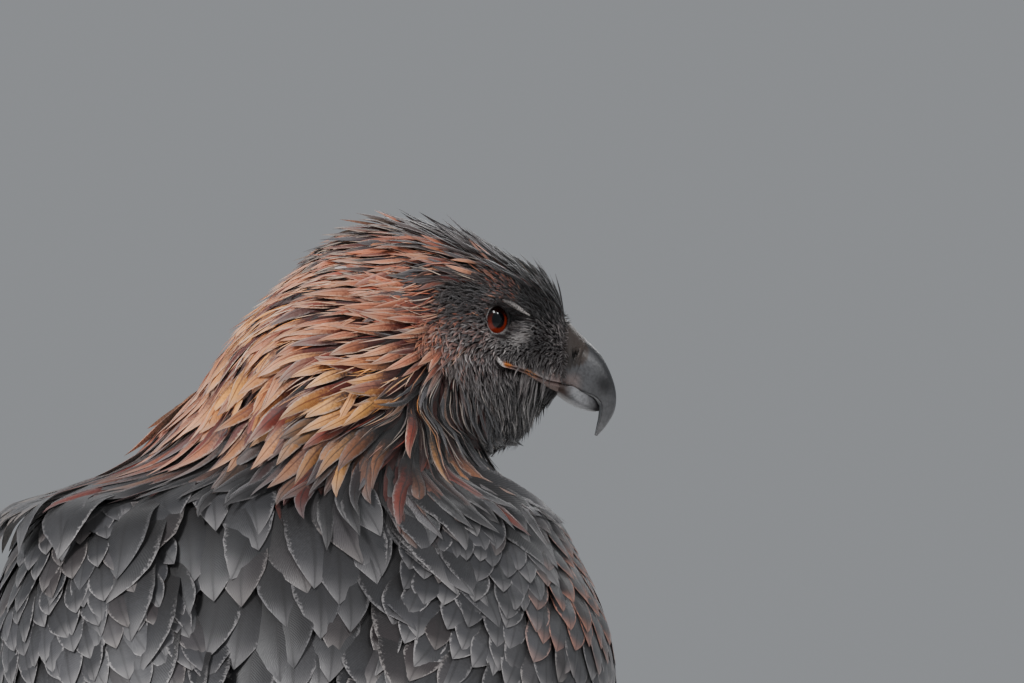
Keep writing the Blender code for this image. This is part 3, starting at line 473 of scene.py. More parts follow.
def grow(vanes, surface, s, a, length, width, low, high, shape, colours, lie=None,
         stray=0.08, roll=0.12, ridge=0.16, loose=0.3, rows=5, ragged=0.0, cover=None):
    """Lay feathers from their roots along the coat's lie.

    The shape's rows are share of the length and share of the width; heights rise from low to high.
    The lie takes points, the way down the part and the way out, and gives the way to follow.
    """
    n = len(s)
    length, width, low, high = (np.broadcast_to(np.asarray(v, float), (n,)) for v in (length, width, low, high))
    home = surface.unwrap(s, a)
    tint, rim, deep = colours(surface.place(s, a, 0.0), s, a)
    turn_off = RNG.normal(0, stray, n)
    bend = RNG.normal(0, stray * 1.5, n)
    tilt = RNG.normal(0, roll, n)
    rise = RNG.exponential(1.0, n).clip(0, 3) * (high - low) * loose
    marks = np.array(shape, float)
    shares = np.linspace(0, 1, rows + 1)
    u = np.linspace(-1, 1, vanes.columns)
    s, a = s.astype(float).copy(), a.astype(float).copy()
    grid = []
    for k, v in enumerate(shares):
        height = low + (high - low) * v ** 0.85 + rise * (v * v - 0.2 * v)
        if cover is not None:
            height = height + cover(s, a)
        here, along, across, normal = surface.steps(s, a, height)
        down = -unit(along)
        pace = np.maximum(np.linalg.norm(along, axis=-1), surface.slowest)
        slant = np.sum(across * down, -1)
        side = across - down * slant[:, None]
        reach = np.maximum(np.linalg.norm(side, axis=-1), 0.05)
        side = side / reach[:, None]
        turn = turn_off + bend * v
        if lie is not None:
            aim = lie(here, down, normal, s)
            turn = turn + np.arctan2(np.sum(aim * side, -1), np.sum(aim * down, -1))
        cos, sin = np.cos(turn)[:, None], np.sin(turn)[:, None]
        wide = side * cos - down * sin
        wide = wide * np.cos(tilt)[:, None] + normal * np.sin(tilt)[:, None]
        half = width * np.interp(v, marks[:, 0], marks[:, 1]) / 2
        rough = 1 + ragged * RNG.normal(0, 1, (n, 2)).clip(-2.5, 1.2)
        reaches = half[:, None] * u * np.where(u < 0, rough[:, :1], rough[:, 1:])
        lift = half[:, None] * ridge * 2 * (1 - np.abs(u) ** 1.5)
        grid.append(here[:, None] + wide[:, None] * reaches[..., None] + normal[:, None] * lift[..., None])
        step = length / rows
        da = np.sin(turn) * step / reach
        s -= (np.cos(turn) * step - slant * da) / pace
        a += da
    grid = np.stack(grid, 1)
    middle = grid[:, :, vanes.columns // 2]
    fits = np.linalg.norm(np.diff(middle, axis=1), axis=2).max(1) < 2.2 * length / rows + 1.0
    vanes.add(grid[fits, :-1], middle[fits, -1], home[fits], tint[fits], rim[fits], deep[fits], shares)


CERE_RINGS = (
    (23.0, 4.4, 22.6, -25.0, 11.2),
    (29.0, 0.4, 27.8, -27.6, 12.6),
    (33.4, -4.2, 28.8, -27.8, 12.2),
    (37.3, -8.0, 30.0, -28.2, 11.5),
)
BILL_RINGS = (
    (37.0, -7.9, 29.8, -28.2, 11.2),
    (43.4, -14.2, 35.6, -31.0, 9.8),
    (48.2, -22.8, 41.0, -33.4, 7.8),
    (50.7, -31.4, 43.9, -36.8, 6.0),
    (50.3, -39.1, 43.9, -41.2, 4.3),
    (46.9, -45.6, 42.7, -46.2, 2.5),
    (42.6, -50.6, 41.6, -50.2, 0.9),
)
LOWER_BILL_RINGS = (
    (22.5, -27.2, 22.2, -30.5, 9.6),
    (30.4, -28.8, 30.2, -36.4, 10.2),
    (35.4, -31.6, 35.2, -38.7, 8.2),
    (40.6, -34.0, 40.4, -39.9, 5.4),
    (43.3, -37.6, 43.2, -39.7, 2.4),
)
BILL_SECTION = ((0, 0), (0.36, 0.03), (0.66, 0.16), (0.87, 0.38), (0.98, 0.68), (0.94, 1.0), (0.5, 0.96), (0, 0.94))
LOWER_SECTION = ((0, 0.12), (0.6, 0.04), (1.0, 0), (0.98, 0.35), (0.82, 0.7), (0.45, 0.94), (0, 1.0))


def snout_place(s, w, height):
    """Place points on the cere, from its front (0) to its rear (3), at places round its section."""
    s, w, height = np.broadcast_arrays(*(np.asarray(v, float) for v in (s, w, height)))
    ring = curve_at(np.array(CERE_RINGS), 3.0 - s)
    side = curve_at(np.array(BILL_SECTION), np.abs(w))
    a = ring[..., 0] + (ring[..., 2] - ring[..., 0]) * side[..., 1]
    b = ring[..., 1] + (ring[..., 3] - ring[..., 1]) * side[..., 1]
    points = outline_point(a, b, ring[..., 4] * side[..., 0] * np.sign(w))
    middle = outline_point((ring[..., 0] + ring[..., 2]) / 2 + 1.0, (ring[..., 1] + ring[..., 3]) / 2)
    return points + unit(points - middle) * height[..., None]


SNOUT = Surface(snout_place, "body", (0.0, 3.0), (-7.0, 7.0))
SNOUT.slowest = 2.0


# The way the neck's feathers lie as the photo shows them: places right of and above the
# pupil, and the angle that they point, from level to the left (0) round to straight down (90)
NECK_LIE = (
    (-50, 25, -2), (-85, 15, 6), (-35, 5, 8), (-72, -12, 12), (-100, -10, 38), (-30, -24, 30),
    (-75, -35, 17), (-47, -35, 20), (-103, -35, 45), (-86, -48, 40), (-60, -48, 38), (-112, -60, 62),
    (-86, -66, 64), (-60, -70, 74), (-34, -70, 92), (-18, -42, 108), (-8, -56, 124), (0, -80, 118),
    (-132, -64, 56), (-107, -88, 82), (-64, -96, 90), (-20, -96, 98), (-25, -33, 70),
)
LIE_REACH = 13.0


def neck_lie(p, down, normal, s):
    """Turn the neck's feathers to lie as in the photo on the side that it shows."""
    spots = np.array([row[:2] for row in NECK_LIE], float)
    turns = np.radians([row[2] for row in NECK_LIE])
    seen = np.stack([PUPIL[0] - p[:, 0], p[:, 2] - PUPIL[2]], 1)
    gap = np.linalg.norm(seen[:, None] - spots, axis=2)
    pull = np.exp(-(gap / LIE_REACH) ** 2) + 1e-4 / (1 + gap)
    left, drop = pull @ np.cos(turns), pull @ np.sin(turns)
    aim = unit(np.stack([left, 0.0 * left, -drop], 1))
    aim = unit(aim - normal * np.sum(aim * normal, 1, keepdims=True))
    share = ramp(normal[:, 1], -0.25, 0.3) * ramp(13.9 - s, 0.0, 0.9) * ramp(s, 8.7, 9.6)
    return unit(down * (1 - share)[:, None] + aim * share[:, None])


LANCE = ((0, 0.3), (0.3, 0.75), (0.55, 1.0), (0.72, 0.92), (0.86, 0.55), (0.95, 0.22), (1, 0.0))
SPEAR = ((0, 0.3), (0.3, 0.85), (0.55, 1.0), (0.68, 0.93), (0.82, 0.62), (0.93, 0.27), (1, 0.0))
STRAP = ((0, 0.5), (0.35, 1.0), (0.75, 0.8), (1, 0.0))
BLADE = ((0, 0.4), (0.3, 0.95), (0.6, 1.0), (0.8, 0.82), (0.93, 0.45), (1, 0.0))
ROUND = ((0, 0.5), (0.35, 0.95), (0.65, 1.0), (0.84, 0.86), (0.95, 0.5), (1, 0.0))

# The plumage's tones
PEACH = srgb(246, 180, 134)
SALMON = srgb(214, 132, 98)
GOLD = srgb(255, 178, 84)
RUST = srgb(158, 66, 42)
GARNET = srgb(84, 24, 16)
CREAM = srgb(240, 214, 190)
UMBER = srgb(60, 42, 38)
SOOT = srgb(20, 18, 19)
CHARCOAL = srgb(42, 42, 45)
SLATE = srgb(82, 81, 84)
ASH = srgb(150, 146, 146)


def mix(a, b, t):
    """Blend two colours by shares."""
    t = np.asarray(t, float)[..., None]
    return a * (1 - t) + b * t


def wobble(p, size, seed=0.0):
    """Give a smooth patchy value from -1 to 1 over space, with patches of about a size."""
    x, y, z = (p / size + seed * 7.3).T
    return (np.sin(1.9 * x + 1.3 * np.sin(1.1 * y + seed)) * np.cos(1.7 * z - 0.8 * x + seed)
            + np.sin(2.3 * y + 1.6 * z + 2.0 * np.sin(0.9 * x))) / 2


def face_places(p):
    """Give how far points are forward of the pupils, above them and out from the midplane."""
    d = p - PUPIL
    return d @ FRONT, d @ UP, np.abs(d @ RIGHT + PUPIL_SIDE)


def seen_places(p):
    """Give places right of and above the pupil as the photo sees them, the same on both sides."""
    f, u, side = face_places(p)
    return -FRONT[0] * f - RIGHT[0] * (side - PUPIL_SIDE), u


def seen_roots(x, y, s_range=(14.5, 18.9), turn_range=(25, 150), outer=0.0):
    """Find stations and angles on the right side of the face for places as the photo sees them."""
    s, turn = np.meshgrid(np.linspace(*s_range, 240), np.linspace(*turn_range, 300), indexing="ij")
    p = body_place(s, turn, 0.0)
    a, b = seen_places(p)
    out = outer * face_places(p)[2]
    found = [np.argmin((a - at) ** 2 + (b - up) ** 2 - out) for at, up in zip(x, y)]
    return s.ravel()[found], turn.ravel()[found]


def face_spots(marks, sign, height=0.0):
    """Place a smooth row of marks, given as the photo sees them, on the face of one side."""
    s, angle = seen_roots(*np.asarray(marks, float).T)
    angle = angle * sign
    blur = np.array((0.25, 0.5, 0.25))
    for _ in range(3):
        s[1:-1], angle[1:-1] = np.convolve(s, blur, "valid"), np.convolve(angle, blur, "valid")
    return s, angle, BODY.steps(s, angle, height)


# The line of the mouth on the face, from its corner to the bill
MOUTH = np.array(((-0.6, -16.9), (1.3, -19.1), (5.7, -20.2), (11.7, -22.4), (15.6, -24.3), (21.6, -26.7),
                  (27.1, -27.8), (31.5, -29.5)))
LIP_TOP = np.array(((-1, 1.3), (3, 1.5), (6, 1.1), (12, 1.8), (20, 3.6), (29, 4.2)))
LIP_LOW = np.array(((-1, 1.2), (3, 1.0), (12, 1.2), (18, 2.2), (24, 3.8), (29, 4.0)))


def mouth_places(p):
    """Give how far forward points are, how far above the mouth's line, and their share of the lips."""
    a, b = seen_places(p)
    above = b - np.interp(a, *MOUTH.T)
    lips = ramp(np.interp(a, *LIP_TOP.T) - above, -0.5, 0.4) * ramp(np.interp(a, *LIP_LOW.T) + above, -0.5, 0.4)
    return a, above, lips * ramp(a, -1.6, -0.4)


def clear_of_lips(p):
    """Tell which roots stay off the lips and don't hang over them."""
    a, above, lips = mouth_places(p)
    over = (a > -0.5) & (above > 0) & (above < np.interp(a, *LIP_TOP.T) + 1.5 + 2.0 * ramp(14 - a, 0, 8))
    return (lips < 0.3) & ~over & (np.hypot(a - 0.9, above + 0.3) > 2.0)


def speckle(colour, share):
    """Vary the brightness of each row a little."""
    return colour * (1 + RNG.normal(0, share, (len(colour), 1)))


def blob(f, u, middle_f, middle_u, reach_f, reach_u):
    """Give a soft spot from 0 to 1 on the face."""
    return np.exp(-((f - middle_f) / reach_f) ** 2 - ((u - middle_u) / reach_u) ** 2)


def strap_share(p):
    """Tell how much of a place belongs to the narrow grey feathers between the cheek and the nape."""
    x, y = seen_places(p)
    return ramp(x + 0.25 * y, -38, -30) * ramp(-y, 7, 15) * ramp(y, -96, -78)


def hackle_colours(p, s, a):
    """Colour the long feathers of the nape: warm blades with pale rims and dark red roots."""
    f, u, _ = face_places(p)
    n = len(p)
    dice = RNG.random(n)
    tint = mix(RUST, SALMON, np.clip(0.7 + 0.35 * wobble(p, 26.0, 1.0) + RNG.normal(0, 0.25, n), 0, 1))
    tint = mix(tint, PEACH, np.clip(RNG.normal(0.15, 0.35, n), 0, 0.85))
    seen = -p[:, 0] + PUPIL[0]
    # Painted highlight: the blades turn golden in two soft spots where sunlight fell on the nape.
    painted_light = blob(seen, p[:, 2] - PUPIL[2], -46, -27, 25, 12) + 0.7 * blob(seen, p[:, 2] - PUPIL[2], -92, -4, 14, 24)
    tint = mix(tint, GOLD, np.clip(1.3 * painted_light * (dice > 0.12), 0, 0.85))
    # The lower hackles fade to near-black: partly their own charcoal, partly painted shade under the ends of the
    # hackles.
    low = ramp(-p[:, 2], -588, -556)
    fade_and_shade = np.clip(low * 1.1 + RNG.normal(0, 0.2, n) * low, 0, 1)
    ember = srgb(186, 78, 44)
    tint = mix(tint, mix(mix(SOOT, CHARCOAL, 0.5), ember, 0.45 * (dice > 0.5) * (1 - low)), fade_and_shade)
    grey = (dice < 0.12) * 0.75 * (1 - np.clip(painted_light, 0, 1))
    tint = mix(tint, SLATE, grey)
    rim = mix(PEACH, CREAM, RNG.uniform(0.2, 1, n))
    rim = mix(rim, ASH, np.clip(0.2 + grey + fade_and_shade, 0, 1))
    rim = mix(rim, CHARCOAL, fade_and_shade * 0.6)
    deep = mix(GARNET, SOOT, np.clip(0.35 + fade_and_shade + RNG.normal(0, 0.3, n), 0, 1))
    ember = (dice > 0.86)[:, None]
    tint = np.where(ember, mix(GARNET, RUST, RNG.uniform(0, 0.6, n)), tint)
    strap = strap_share(p) * (dice > 0.08)
    front = np.maximum(ramp(np.abs(a), 95, 140), strap)
    tint = mix(tint, mix(mix(CHARCOAL, UMBER, 0.5 * dice), SLATE, strap * 0.8), front)
    rim = mix(rim, mix(SLATE, ASH, 0.7 * strap), front)
    return speckle(tint, 0.14), rim, mix(deep, SOOT, front)


def shade_colours(p, s, a):
    """Colour the short feathers that lie under the long ones: nearly black, some dark red; the near-black is partly
    painted shade in the gaps between the long ones.
    """
    n = len(p)
    tint = mix(SOOT, mix(GARNET, UMBER, RNG.random(n)), np.clip(RNG.normal(0.5, 0.4, n), 0, 1))
    return speckle(tint, 0.2), mix(tint, RUST, np.clip(RNG.normal(0.0, 0.25, n), 0, 0.6)), tint * 0.4


def barb_colours(p, s, a):
    """Colour the loose barbs: pale pinkish grey to warm, with some dark ones."""
    tint, rim, deep = (crown_colours if s.min() > 12.9 else hackle_colours)(p, s, a)
    pale = mix(rim, CREAM, RNG.uniform(0, 0.5, len(p)))
    tint = mix(tint, pale, np.clip(RNG.normal(0.3, 0.4, len(p)), 0, 1))
    return tint, tint, deep


def crown_colours(p, s, a):
    """Colour the head: dark in front, with warm streaks that take over behind the eye."""
    f, u, side = face_places(p)
    n = len(p)
    dice, luck = RNG.random(n), RNG.random(n)
    top = ramp(34 - np.abs(a), -8, 14)
    warm = 0.62 - 0.35 * ramp(f, -34, 6) - 0.35 * top
    warm = warm + 0.35 * blob(f, u, -2, 18, 10, 5) + 0.2 * blob(f, u, -30, 0, 7, 12) - 0.25 * blob(f, u, -16, -5, 9, 8)
    warm = warm - 0.7 * blob(f, u, -14, 12, 10, 7) - 1.2 * ramp(f, 9, 14) * ramp(u, -8, 2)
    grey = mix(mix(UMBER, SLATE, dice), ASH, 0.3 * top * luck)
    salmon = mix(mix(RUST, SALMON, RNG.random(n)), PEACH, np.clip(RNG.normal(0, 0.25, n), 0, 0.6))
    tint = mix(grey, salmon, ramp(warm + RNG.normal(0, 0.2, n), 0.35, 0.65))
    # Dark patches are partly the crown's and forehead's own dark feathers, partly painted shade in the hollow in front
    # of the eye under the brow.
    black = blob(f, u, -14, 12, 9, 6) + ramp(f, 9, 14) * ramp(u, -9, 1) + 2.0 * blob(f, u, 9, 2.5, 7, 4)
    black = np.clip(black + RNG.normal(0, 0.12, n), 0, 0.95)
    tint = mix(tint, mix(SOOT, UMBER, 0.4 * blob(f, u, -14, 12, 12, 9)), black)
    cheek = ramp(-u, -2, 7) * ramp(f, -31, -22)
    hair = mix(mix(srgb(52, 48, 50), srgb(206, 192, 188), luck ** 1.5), srgb(180, 124, 110), 0.7 * (dice < 0.4) * ramp(-f, -4, 10))
    hair = mix(hair, srgb(206, 198, 194), 0.8 * (luck > 0.92))
    hair = mix(hair, mix(mix(CHARCOAL, SOOT, 0.4), ASH, (luck > 0.7) * 0.8), ramp(-u, 17, 27))
    tint = mix(tint, hair, cheek)
    strap = 0.9 * strap_share(p) * (dice > 0.15)
    tint = mix(tint, mix(UMBER, ASH, 0.25 + 0.5 * luck), strap)
    lore = blob(f, u, 9, -8.5, 9, 5.5)
    tint = mix(tint, mix(SLATE, srgb(202, 196, 192), luck), np.clip(lore * 1.6, 0, 0.95))
    tint = mix(tint, mix(SOOT, UMBER, 0.3 * luck), np.clip(1.1 * blob(f, u, 19, -10, 7, 6), 0, 0.9))
    tint = mix(tint, srgb(200, 196, 196), np.clip(blob(f, u, -43, 24, 4, 2.2), 0, 0.9))
    # Pale strands on the throat and grey rims on the dark feathers are partly painted highlights on the strands.
    throat = ramp(np.abs(a), 112, 135)
    tint = mix(tint, mix(srgb(28, 27, 28), srgb(186, 180, 176), (dice > 0.76) * 0.8), throat * 0.92)
    dark = np.clip(black + throat * 0.5, 0, 1)
    pale = mix(CREAM, ASH, ramp(f, -40, -10))
    rim = mix(mix(tint, pale, np.clip(RNG.normal(0.5, 0.25, n), 0, 1)), mix(tint, ASH, 0.7 * (luck > 0.5)), dark)
    rim = mix(rim, mix(tint, srgb(176, 170, 168), 0.8 * (luck > 0.62)), throat)
    return speckle(tint, 0.2), rim, mix(mix(GARNET, UMBER, ramp(f, -40, -10)), SOOT, np.clip(0.4 + dark, 0, 1))


def body_colours(p, s, a):
    """Colour the body: charcoal with paler rims, browner below."""
    n = len(p)
    dice = RNG.random(n)
    brown = ramp(-p[:, 2], -470, -380) * 0.6 + 0.3 * (dice < 0.15)
    tint = mix(CHARCOAL, UMBER, np.clip(brown, 0, 1))
    # The back turns paler low down, with paler rims: partly its own paler feathers, partly painted light where sunlight
    # fell on the lower back.
    pale = 0.3 * wobble(p, 35.0, 5.0) + 0.35 * ramp(-p[:, 2], -515, -485) + RNG.normal(0.05, 0.15, n)
    tint = mix(tint, SLATE, np.clip(pale, 0, 0.7))
    rim = mix(SLATE, ASH, np.clip(0.5 + 0.5 * ramp(-p[:, 2], -520, -490) + RNG.normal(0, 0.25, n), 0, 1.2))
    rim = mix(rim, mix(UMBER, CREAM, np.array(0.35)), np.clip(brown, 0, 1) * 0.6)
    # Painted shade: a dark patch on the mantle under the hackles.
    shade = 0.7 * blob(p[:, 0], p[:, 2], 8, 512, 24, 24) * (p[:, 1] > 20)
    tint = mix(tint, SOOT, shade)
    rim = mix(rim, SLATE, shade)
    edge = ramp(-p[:, 0], 92, 104) * ramp(p[:, 2], 478, 490) * ramp(540 - p[:, 2], 0, 10) * ramp(p[:, 1], -75, -45)
    rim = mix(rim, SALMON, 0.7 * edge)
    return speckle(tint, 0.12), rim, np.tile(SOOT, (n, 1))


def tuft_colours(p, s, a):
    """Colour the paler pointed feathers at the left shoulder."""
    n = len(p)
    tint = mix(SLATE * 0.6, ASH, RNG.uniform(0, 0.3, n))
    return speckle(tint, 0.1), mix(tint, CREAM, np.full(n, 0.25)), np.tile(CHARCOAL * 0.6, (n, 1))


def outward(p, down, normal, s):
    """Let feathers point out to the left and a little down."""
    aim = np.array([0.9, 0.1, -0.35]) + 0.0 * normal
    return unit(aim - normal * np.sum(aim * normal, 1, keepdims=True))


def leg_colours(p, s, a):
    """Colour the legs: brown trousers, paler down on the tarsus."""
    pale = ramp(-p[:, 2], -110, -50)
    tint = mix(mix(UMBER, CHARCOAL, np.array(0.4)), srgb(150, 116, 84), pale)
    return speckle(tint, 0.12), mix(tint, CREAM, np.full(len(p), 0.3)), tint * 0.35


class Nodes:
    """A short way to write a material's nodes."""

    def __init__(self, name, roughness=0.6):
        self.material = bpy.data.materials.new(name)
        self.material.use_nodes = True
        self.tree = self.material.node_tree
        self.shader = self.tree.nodes["Principled BSDF"]
        self.shader.inputs["Roughness"].default_value = roughness

    def node(self, kind, **settings):
        """Add a node with its settings."""
        made = self.tree.nodes.new(kind)
        for key, value in settings.items():
            setattr(made, key, value)
        return made

    def put(self, socket, value):
        """Link an output to a socket, or set the socket to a value."""
        if isinstance(value, bpy.types.NodeSocket):
            self.tree.links.new(value, socket)
        else:
            socket.default_value = value

    def math(self, operation, *values, clamp=False):
        """Work out a number."""
        made = self.node("ShaderNodeMath", operation=operation, use_clamp=clamp)
        for socket, value in zip(made.inputs, values):
            self.put(socket, value)
        return made.outputs[0]

    def ramp(self, value, low, high):
        """Rise smoothly from 0 to 1 between two values."""
        made = self.node("ShaderNodeMapRange", interpolation_type="SMOOTHSTEP")
        for key, given in (("Value", value), ("From Min", low), ("From Max", high)):
            self.put(made.inputs[key], given)
        return made.outputs["Result"]

    def mix(self, share, a, b, kind="MIX"):
        """Blend two colours."""
        made = self.node("ShaderNodeMix", data_type="RGBA", blend_type=kind)
        for index, value in ((0, share), (6, a), (7, b)):
            if isinstance(value, (tuple, np.ndarray)):
                value = (*[float(c) for c in value], 1.0)[:4]
            self.put(made.inputs[index], value)
        return made.outputs[2]

    def attribute(self, name):
        """Read a colour attribute."""
        return self.node("ShaderNodeAttribute", attribute_name=name).outputs["Color"]

    def noise(self, scale, detail=3.0, vector=None):
        """Read a noise at a scale given in cycles for each metre."""
        made = self.node("ShaderNodeTexNoise")
        made.inputs["Scale"].default_value = scale
        made.inputs["Detail"].default_value = detail
        self.put(made.inputs["Vector"], vector or self.node("ShaderNodeTexCoord").outputs["Object"])
        return made.outputs["Fac"]

    def bump(self, height, distance, strength=1.0):
        """Raise the surface by a height."""
        made = self.node("ShaderNodeBump")
        made.inputs["Distance"].default_value = distance
        made.inputs["Strength"].default_value = strength
        self.put(made.inputs["Height"], height)
        self.put(self.shader.inputs["Normal"], made.outputs["Normal"])

    def colour(self, value):
        """Set the base colour."""
        self.put(self.shader.inputs["Base Color"], value)
        return self.material


def feather_material(name, root=(0.2, 0.6), rim_width=0.6, barbs=60.0, shaft=0.5, gloss=0.5, sheen=0.2,
                     stripes=0.15, relief=0.00003):
    """Make plumage: dark roots, pale rims and tips, a shaft and fine slanting barbs."""
    m = Nodes(name, gloss)
    m.shader.inputs["Specular IOR Level"].default_value = 0.35
    m.shader.inputs["Sheen Weight"].default_value = sheen
    m.shader.inputs["Sheen Roughness"].default_value = 0.5
    vane = m.node("ShaderNodeSeparateColor")
    m.put(vane.inputs[0], m.attribute("vane"))
    across, along, dice = vane.outputs
    tint, rim, deep = (m.attribute(key) for key in ("tint", "rim", "deep"))
    rough = m.noise(900.0)
    ragged = m.math("ADD", across, m.math("MULTIPLY", m.math("SUBTRACT", rough, 0.5), 0.5))
    tip = m.math("MULTIPLY", m.ramp(along, 0.72, 1.0), m.math("ADD", 0.45, m.math("MULTIPLY", across, 0.5)))
    edge = m.math("MAXIMUM", m.ramp(ragged, rim_width, 1.0), tip)
    colour = m.mix(m.math("MULTIPLY", edge, 0.85), tint, rim)
    slant = m.math("ADD", m.math("MULTIPLY", along, barbs), m.math("MULTIPLY", across, -barbs * 0.18))
    line = m.math("SINE", m.math("ADD", slant, m.math("MULTIPLY", rough, 6.0)))
    colour = m.mix(m.math("MULTIPLY", m.ramp(line, -0.2, 1.0), stripes), colour, deep)
    middle = m.math("SUBTRACT", 1.0, m.ramp(across, 0.03, 0.16), clamp=True)
    colour = m.mix(m.math("MULTIPLY", middle, shaft), colour, deep)
    # The roots darken towards the deep colour: partly the feathers' own dark bases, partly painted shade where the
    # feathers overlap.
    base = m.math("ADD", along, m.math("MULTIPLY", m.math("SUBTRACT", rough, 0.5), 0.35))
    dark = m.math("SUBTRACT", 1.0, m.ramp(base, *root))
    colour = m.mix(dark, colour, deep)
    m.bump(m.math("ADD", line, middle), relief)
    return m.colour(colour)


def add_skin():
    """Make the skin under the feathers: trunk, neck and head, wings, legs and root of the tail."""
    parts = []
    def sheet(surface, s_values, a_values, depth, wrap):
        s, a = np.meshgrid(s_values, a_values, indexing="ij")
        points = surface.place(s, a, depth(s, a))
        home = surface.unwrap(s, a)
        parts.append((points.reshape(-1, 3), len(s_values), len(a_values), wrap, home.reshape(-1, 2),
                      s.ravel(), a.ravel()))
    around = np.linspace(-180, 180, 97)[:-1]
    sheet(BODY, np.linspace(0.3, 18.95, 260), around,
          lambda s, a: -6.0 + 4.6 * ramp(s, 11, 14) - 0.5 * ramp(s, 14, 18)
          - 2.0 * ramp(np.abs(a), 98, 114) * ramp(s, 13.8, 15), True)
    for sign in (1, -1):
        sheet(WINGS[sign], np.linspace(1.3, 9.6, 70), np.linspace(-0.03, 1.03, 40), wing_depth, False)
        sheet(THIGHS[sign], np.linspace(84.3, 271, 30), around[::3], lambda z, a: -3.5 + 0 * z, True)
        sheet(TARSI[sign], np.linspace(12, 90, 20), around[::3], lambda z, a: -1.6 + 0 * z, True)
    points, quads, home, tint = [], [], [], []
    count = 0
    for p, rows, columns, wrap, uv, s, a in parts:
        points.append(p)
        inside = None if wrap else TRUNK
        quads.append(face_out(p, grid_faces(rows, columns, wrap), NO_TRIS, 1, inside)[0] + count)
        home.append(uv)
        tint.append(mix(UMBER, SOOT, np.full(len(p), 0.5)))
        count += len(p)
    skin = make_mesh("skin", np.concatenate(points), np.concatenate(quads), NO_TRIS,
                     {"OFBake": np.concatenate(home)}, {"tint": np.concatenate(tint)})
    m = Nodes("bird_skin", 0.8)
    grain = m.noise(1500.0)
    m.bump(grain, 0.0005)
    skin.data.materials.append(m.colour(m.mix(m.math("MULTIPLY", grain, 0.5), m.attribute("tint"), tuple(SLATE))))
    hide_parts(*FLESH)
    return skin


def wing_depth(s, q):
    """Sink the wings' skin below the coverts, and deeper at its edges, where it meets the trunk."""
    rim = np.minimum(ramp(q, -0.03, 0.1) * ramp(1.03 - q, 0, 0.13), ramp(9.6 - s, 0, 0.4))
    return -3.5 - 6.0 * (1 - rim)


def wing_cover(s, a):
    """Give the height that carries the neck's and back's feathers over the tops of the wings."""
    dorsal, ventral, thick = wing_edges(np.clip(s, 0.2, 9.5))
    q = (np.abs(wrapped(a)) - dorsal) / (ventral - dorsal)
    arch = np.sin(np.pi * np.clip(q, 0.0, 1.0)) ** 0.6
    top = np.clip((WING_TOP - s) / 0.5 + 0.35, 0, 1)
    lift = WING_EDGE + (thick * top - WING_EDGE) * arch
    return np.maximum(lift, 0) * ramp(q, -0.08, 0.04) * ramp(1.08 - q, 0, 0.1) * ramp(9.95 - s, 0, 0.45)


def shoulder_cover(s, a):
    """Add the left shoulder's fuller feathers to the height over the wings."""
    turn = wrapped(a)
    full = ramp(s, 8.2, 9.2) * ramp(11.1 - s, 0, 0.9) * ramp(-turn, 15, 55) * ramp(125 + turn, 0, 30)
    return wing_cover(s, a) + 13.0 * full


def wrapped(a):
    """Bring angles into the range from -180 to 180."""
    return (a + 180) % 360 - 180


FLESH = ["torso", "neck", "head", "tail"] + [f"{part}_{side}" for part in ("wing", "thigh", "tarsus")
                                             for side in ("right", "left")]


def clear_of_eyes(s, a, reach):
    """Tell which roots on the body stay off the eyes and lids."""
    p = body_place(s, a, 0.0)
    keep = np.ones(len(s), bool)
    for sign in (1, -1):
        d = p - eye_centre(sign) - eye_axis(sign) * LID_REACH
        keep &= np.linalg.norm(d, axis=1) > EYE_OPENING + reach
    return keep


def under_wing(s, a, edge=6.0):
    """Tell which places on the trunk lie under a folded wing."""
    dorsal, ventral, _ = wing_edges(s)
    turn = np.abs(a)
    return (turn > dorsal + edge) & (turn < ventral - edge) & (s < WING_TOP - 0.1)


def add_body_feathers():
    """Cover the trunk: broad pointed feathers on the back, smaller ones on the breast and belly."""
    back, breast = Vanes(5), Vanes()
    s, a = scatter(BODY, (5.6, 10.4), (-75, 75), 20.0, 16.0, 0.42)
    keep = ~under_wing(s, a)
    s, a = s[keep], a[keep]
    grow(back, BODY, s, a, 56 + RNG.normal(0, 3, len(s)), 23 + RNG.normal(0, 1.5, len(s)), -6.0, 0.2,
         SPEAR, body_colours, None, 0.1, 0.08, 0.08, 0.1, 22, 0.008, shoulder_cover)
    s, a = scatter(BODY, (0.6, 10.4), (-180, 180), 10.0, 10.0)
    keep = ~under_wing(s, a) & ((s < 5.9) | (np.abs(a) > 72))
    s, a = s[keep], a[keep]
    hem = ramp(6.9 - s, 0, 0.9) * ramp(np.abs(a), 95, 130) * ramp(s, 4.7, 5.3)
    length = 30 + 8 * ramp(9.8 - s, 0, 5) + 10 * hem + RNG.normal(0, 2, len(s))
    grow(breast, BODY, s, a, length, 12.5 + RNG.normal(0, 1, len(s)), -6.0, -0.4 + 4.5 * hem, SPEAR, body_colours,
         None, 0.1, 0.12, 0.12, 0.15, 7, 0.03, shoulder_cover)
    s, a = scatter(BODY, (9.25, 10.1), (-104, -48), 9.0, 9.0)
    grow(back, BODY, s, a, 32 + RNG.normal(0, 3, len(s)), 9.0, -3.0, 3.5, SPEAR, tuft_colours, outward,
         0.2, 0.2, 0.1, 0.3, 22, 0.02, shoulder_cover)
    back.make("back_feathers", feather_material("back_plumage", (0.3, 0.85), 0.84, 300, 0.4, 0.45, 0.25, 0.24, 0.00002))
    breast.make("breast_feathers", feather_material("breast_plumage", (0.2, 0.7), 0.66, 300, 0.3, 0.5, 0.15, 0.08, 0.00002))


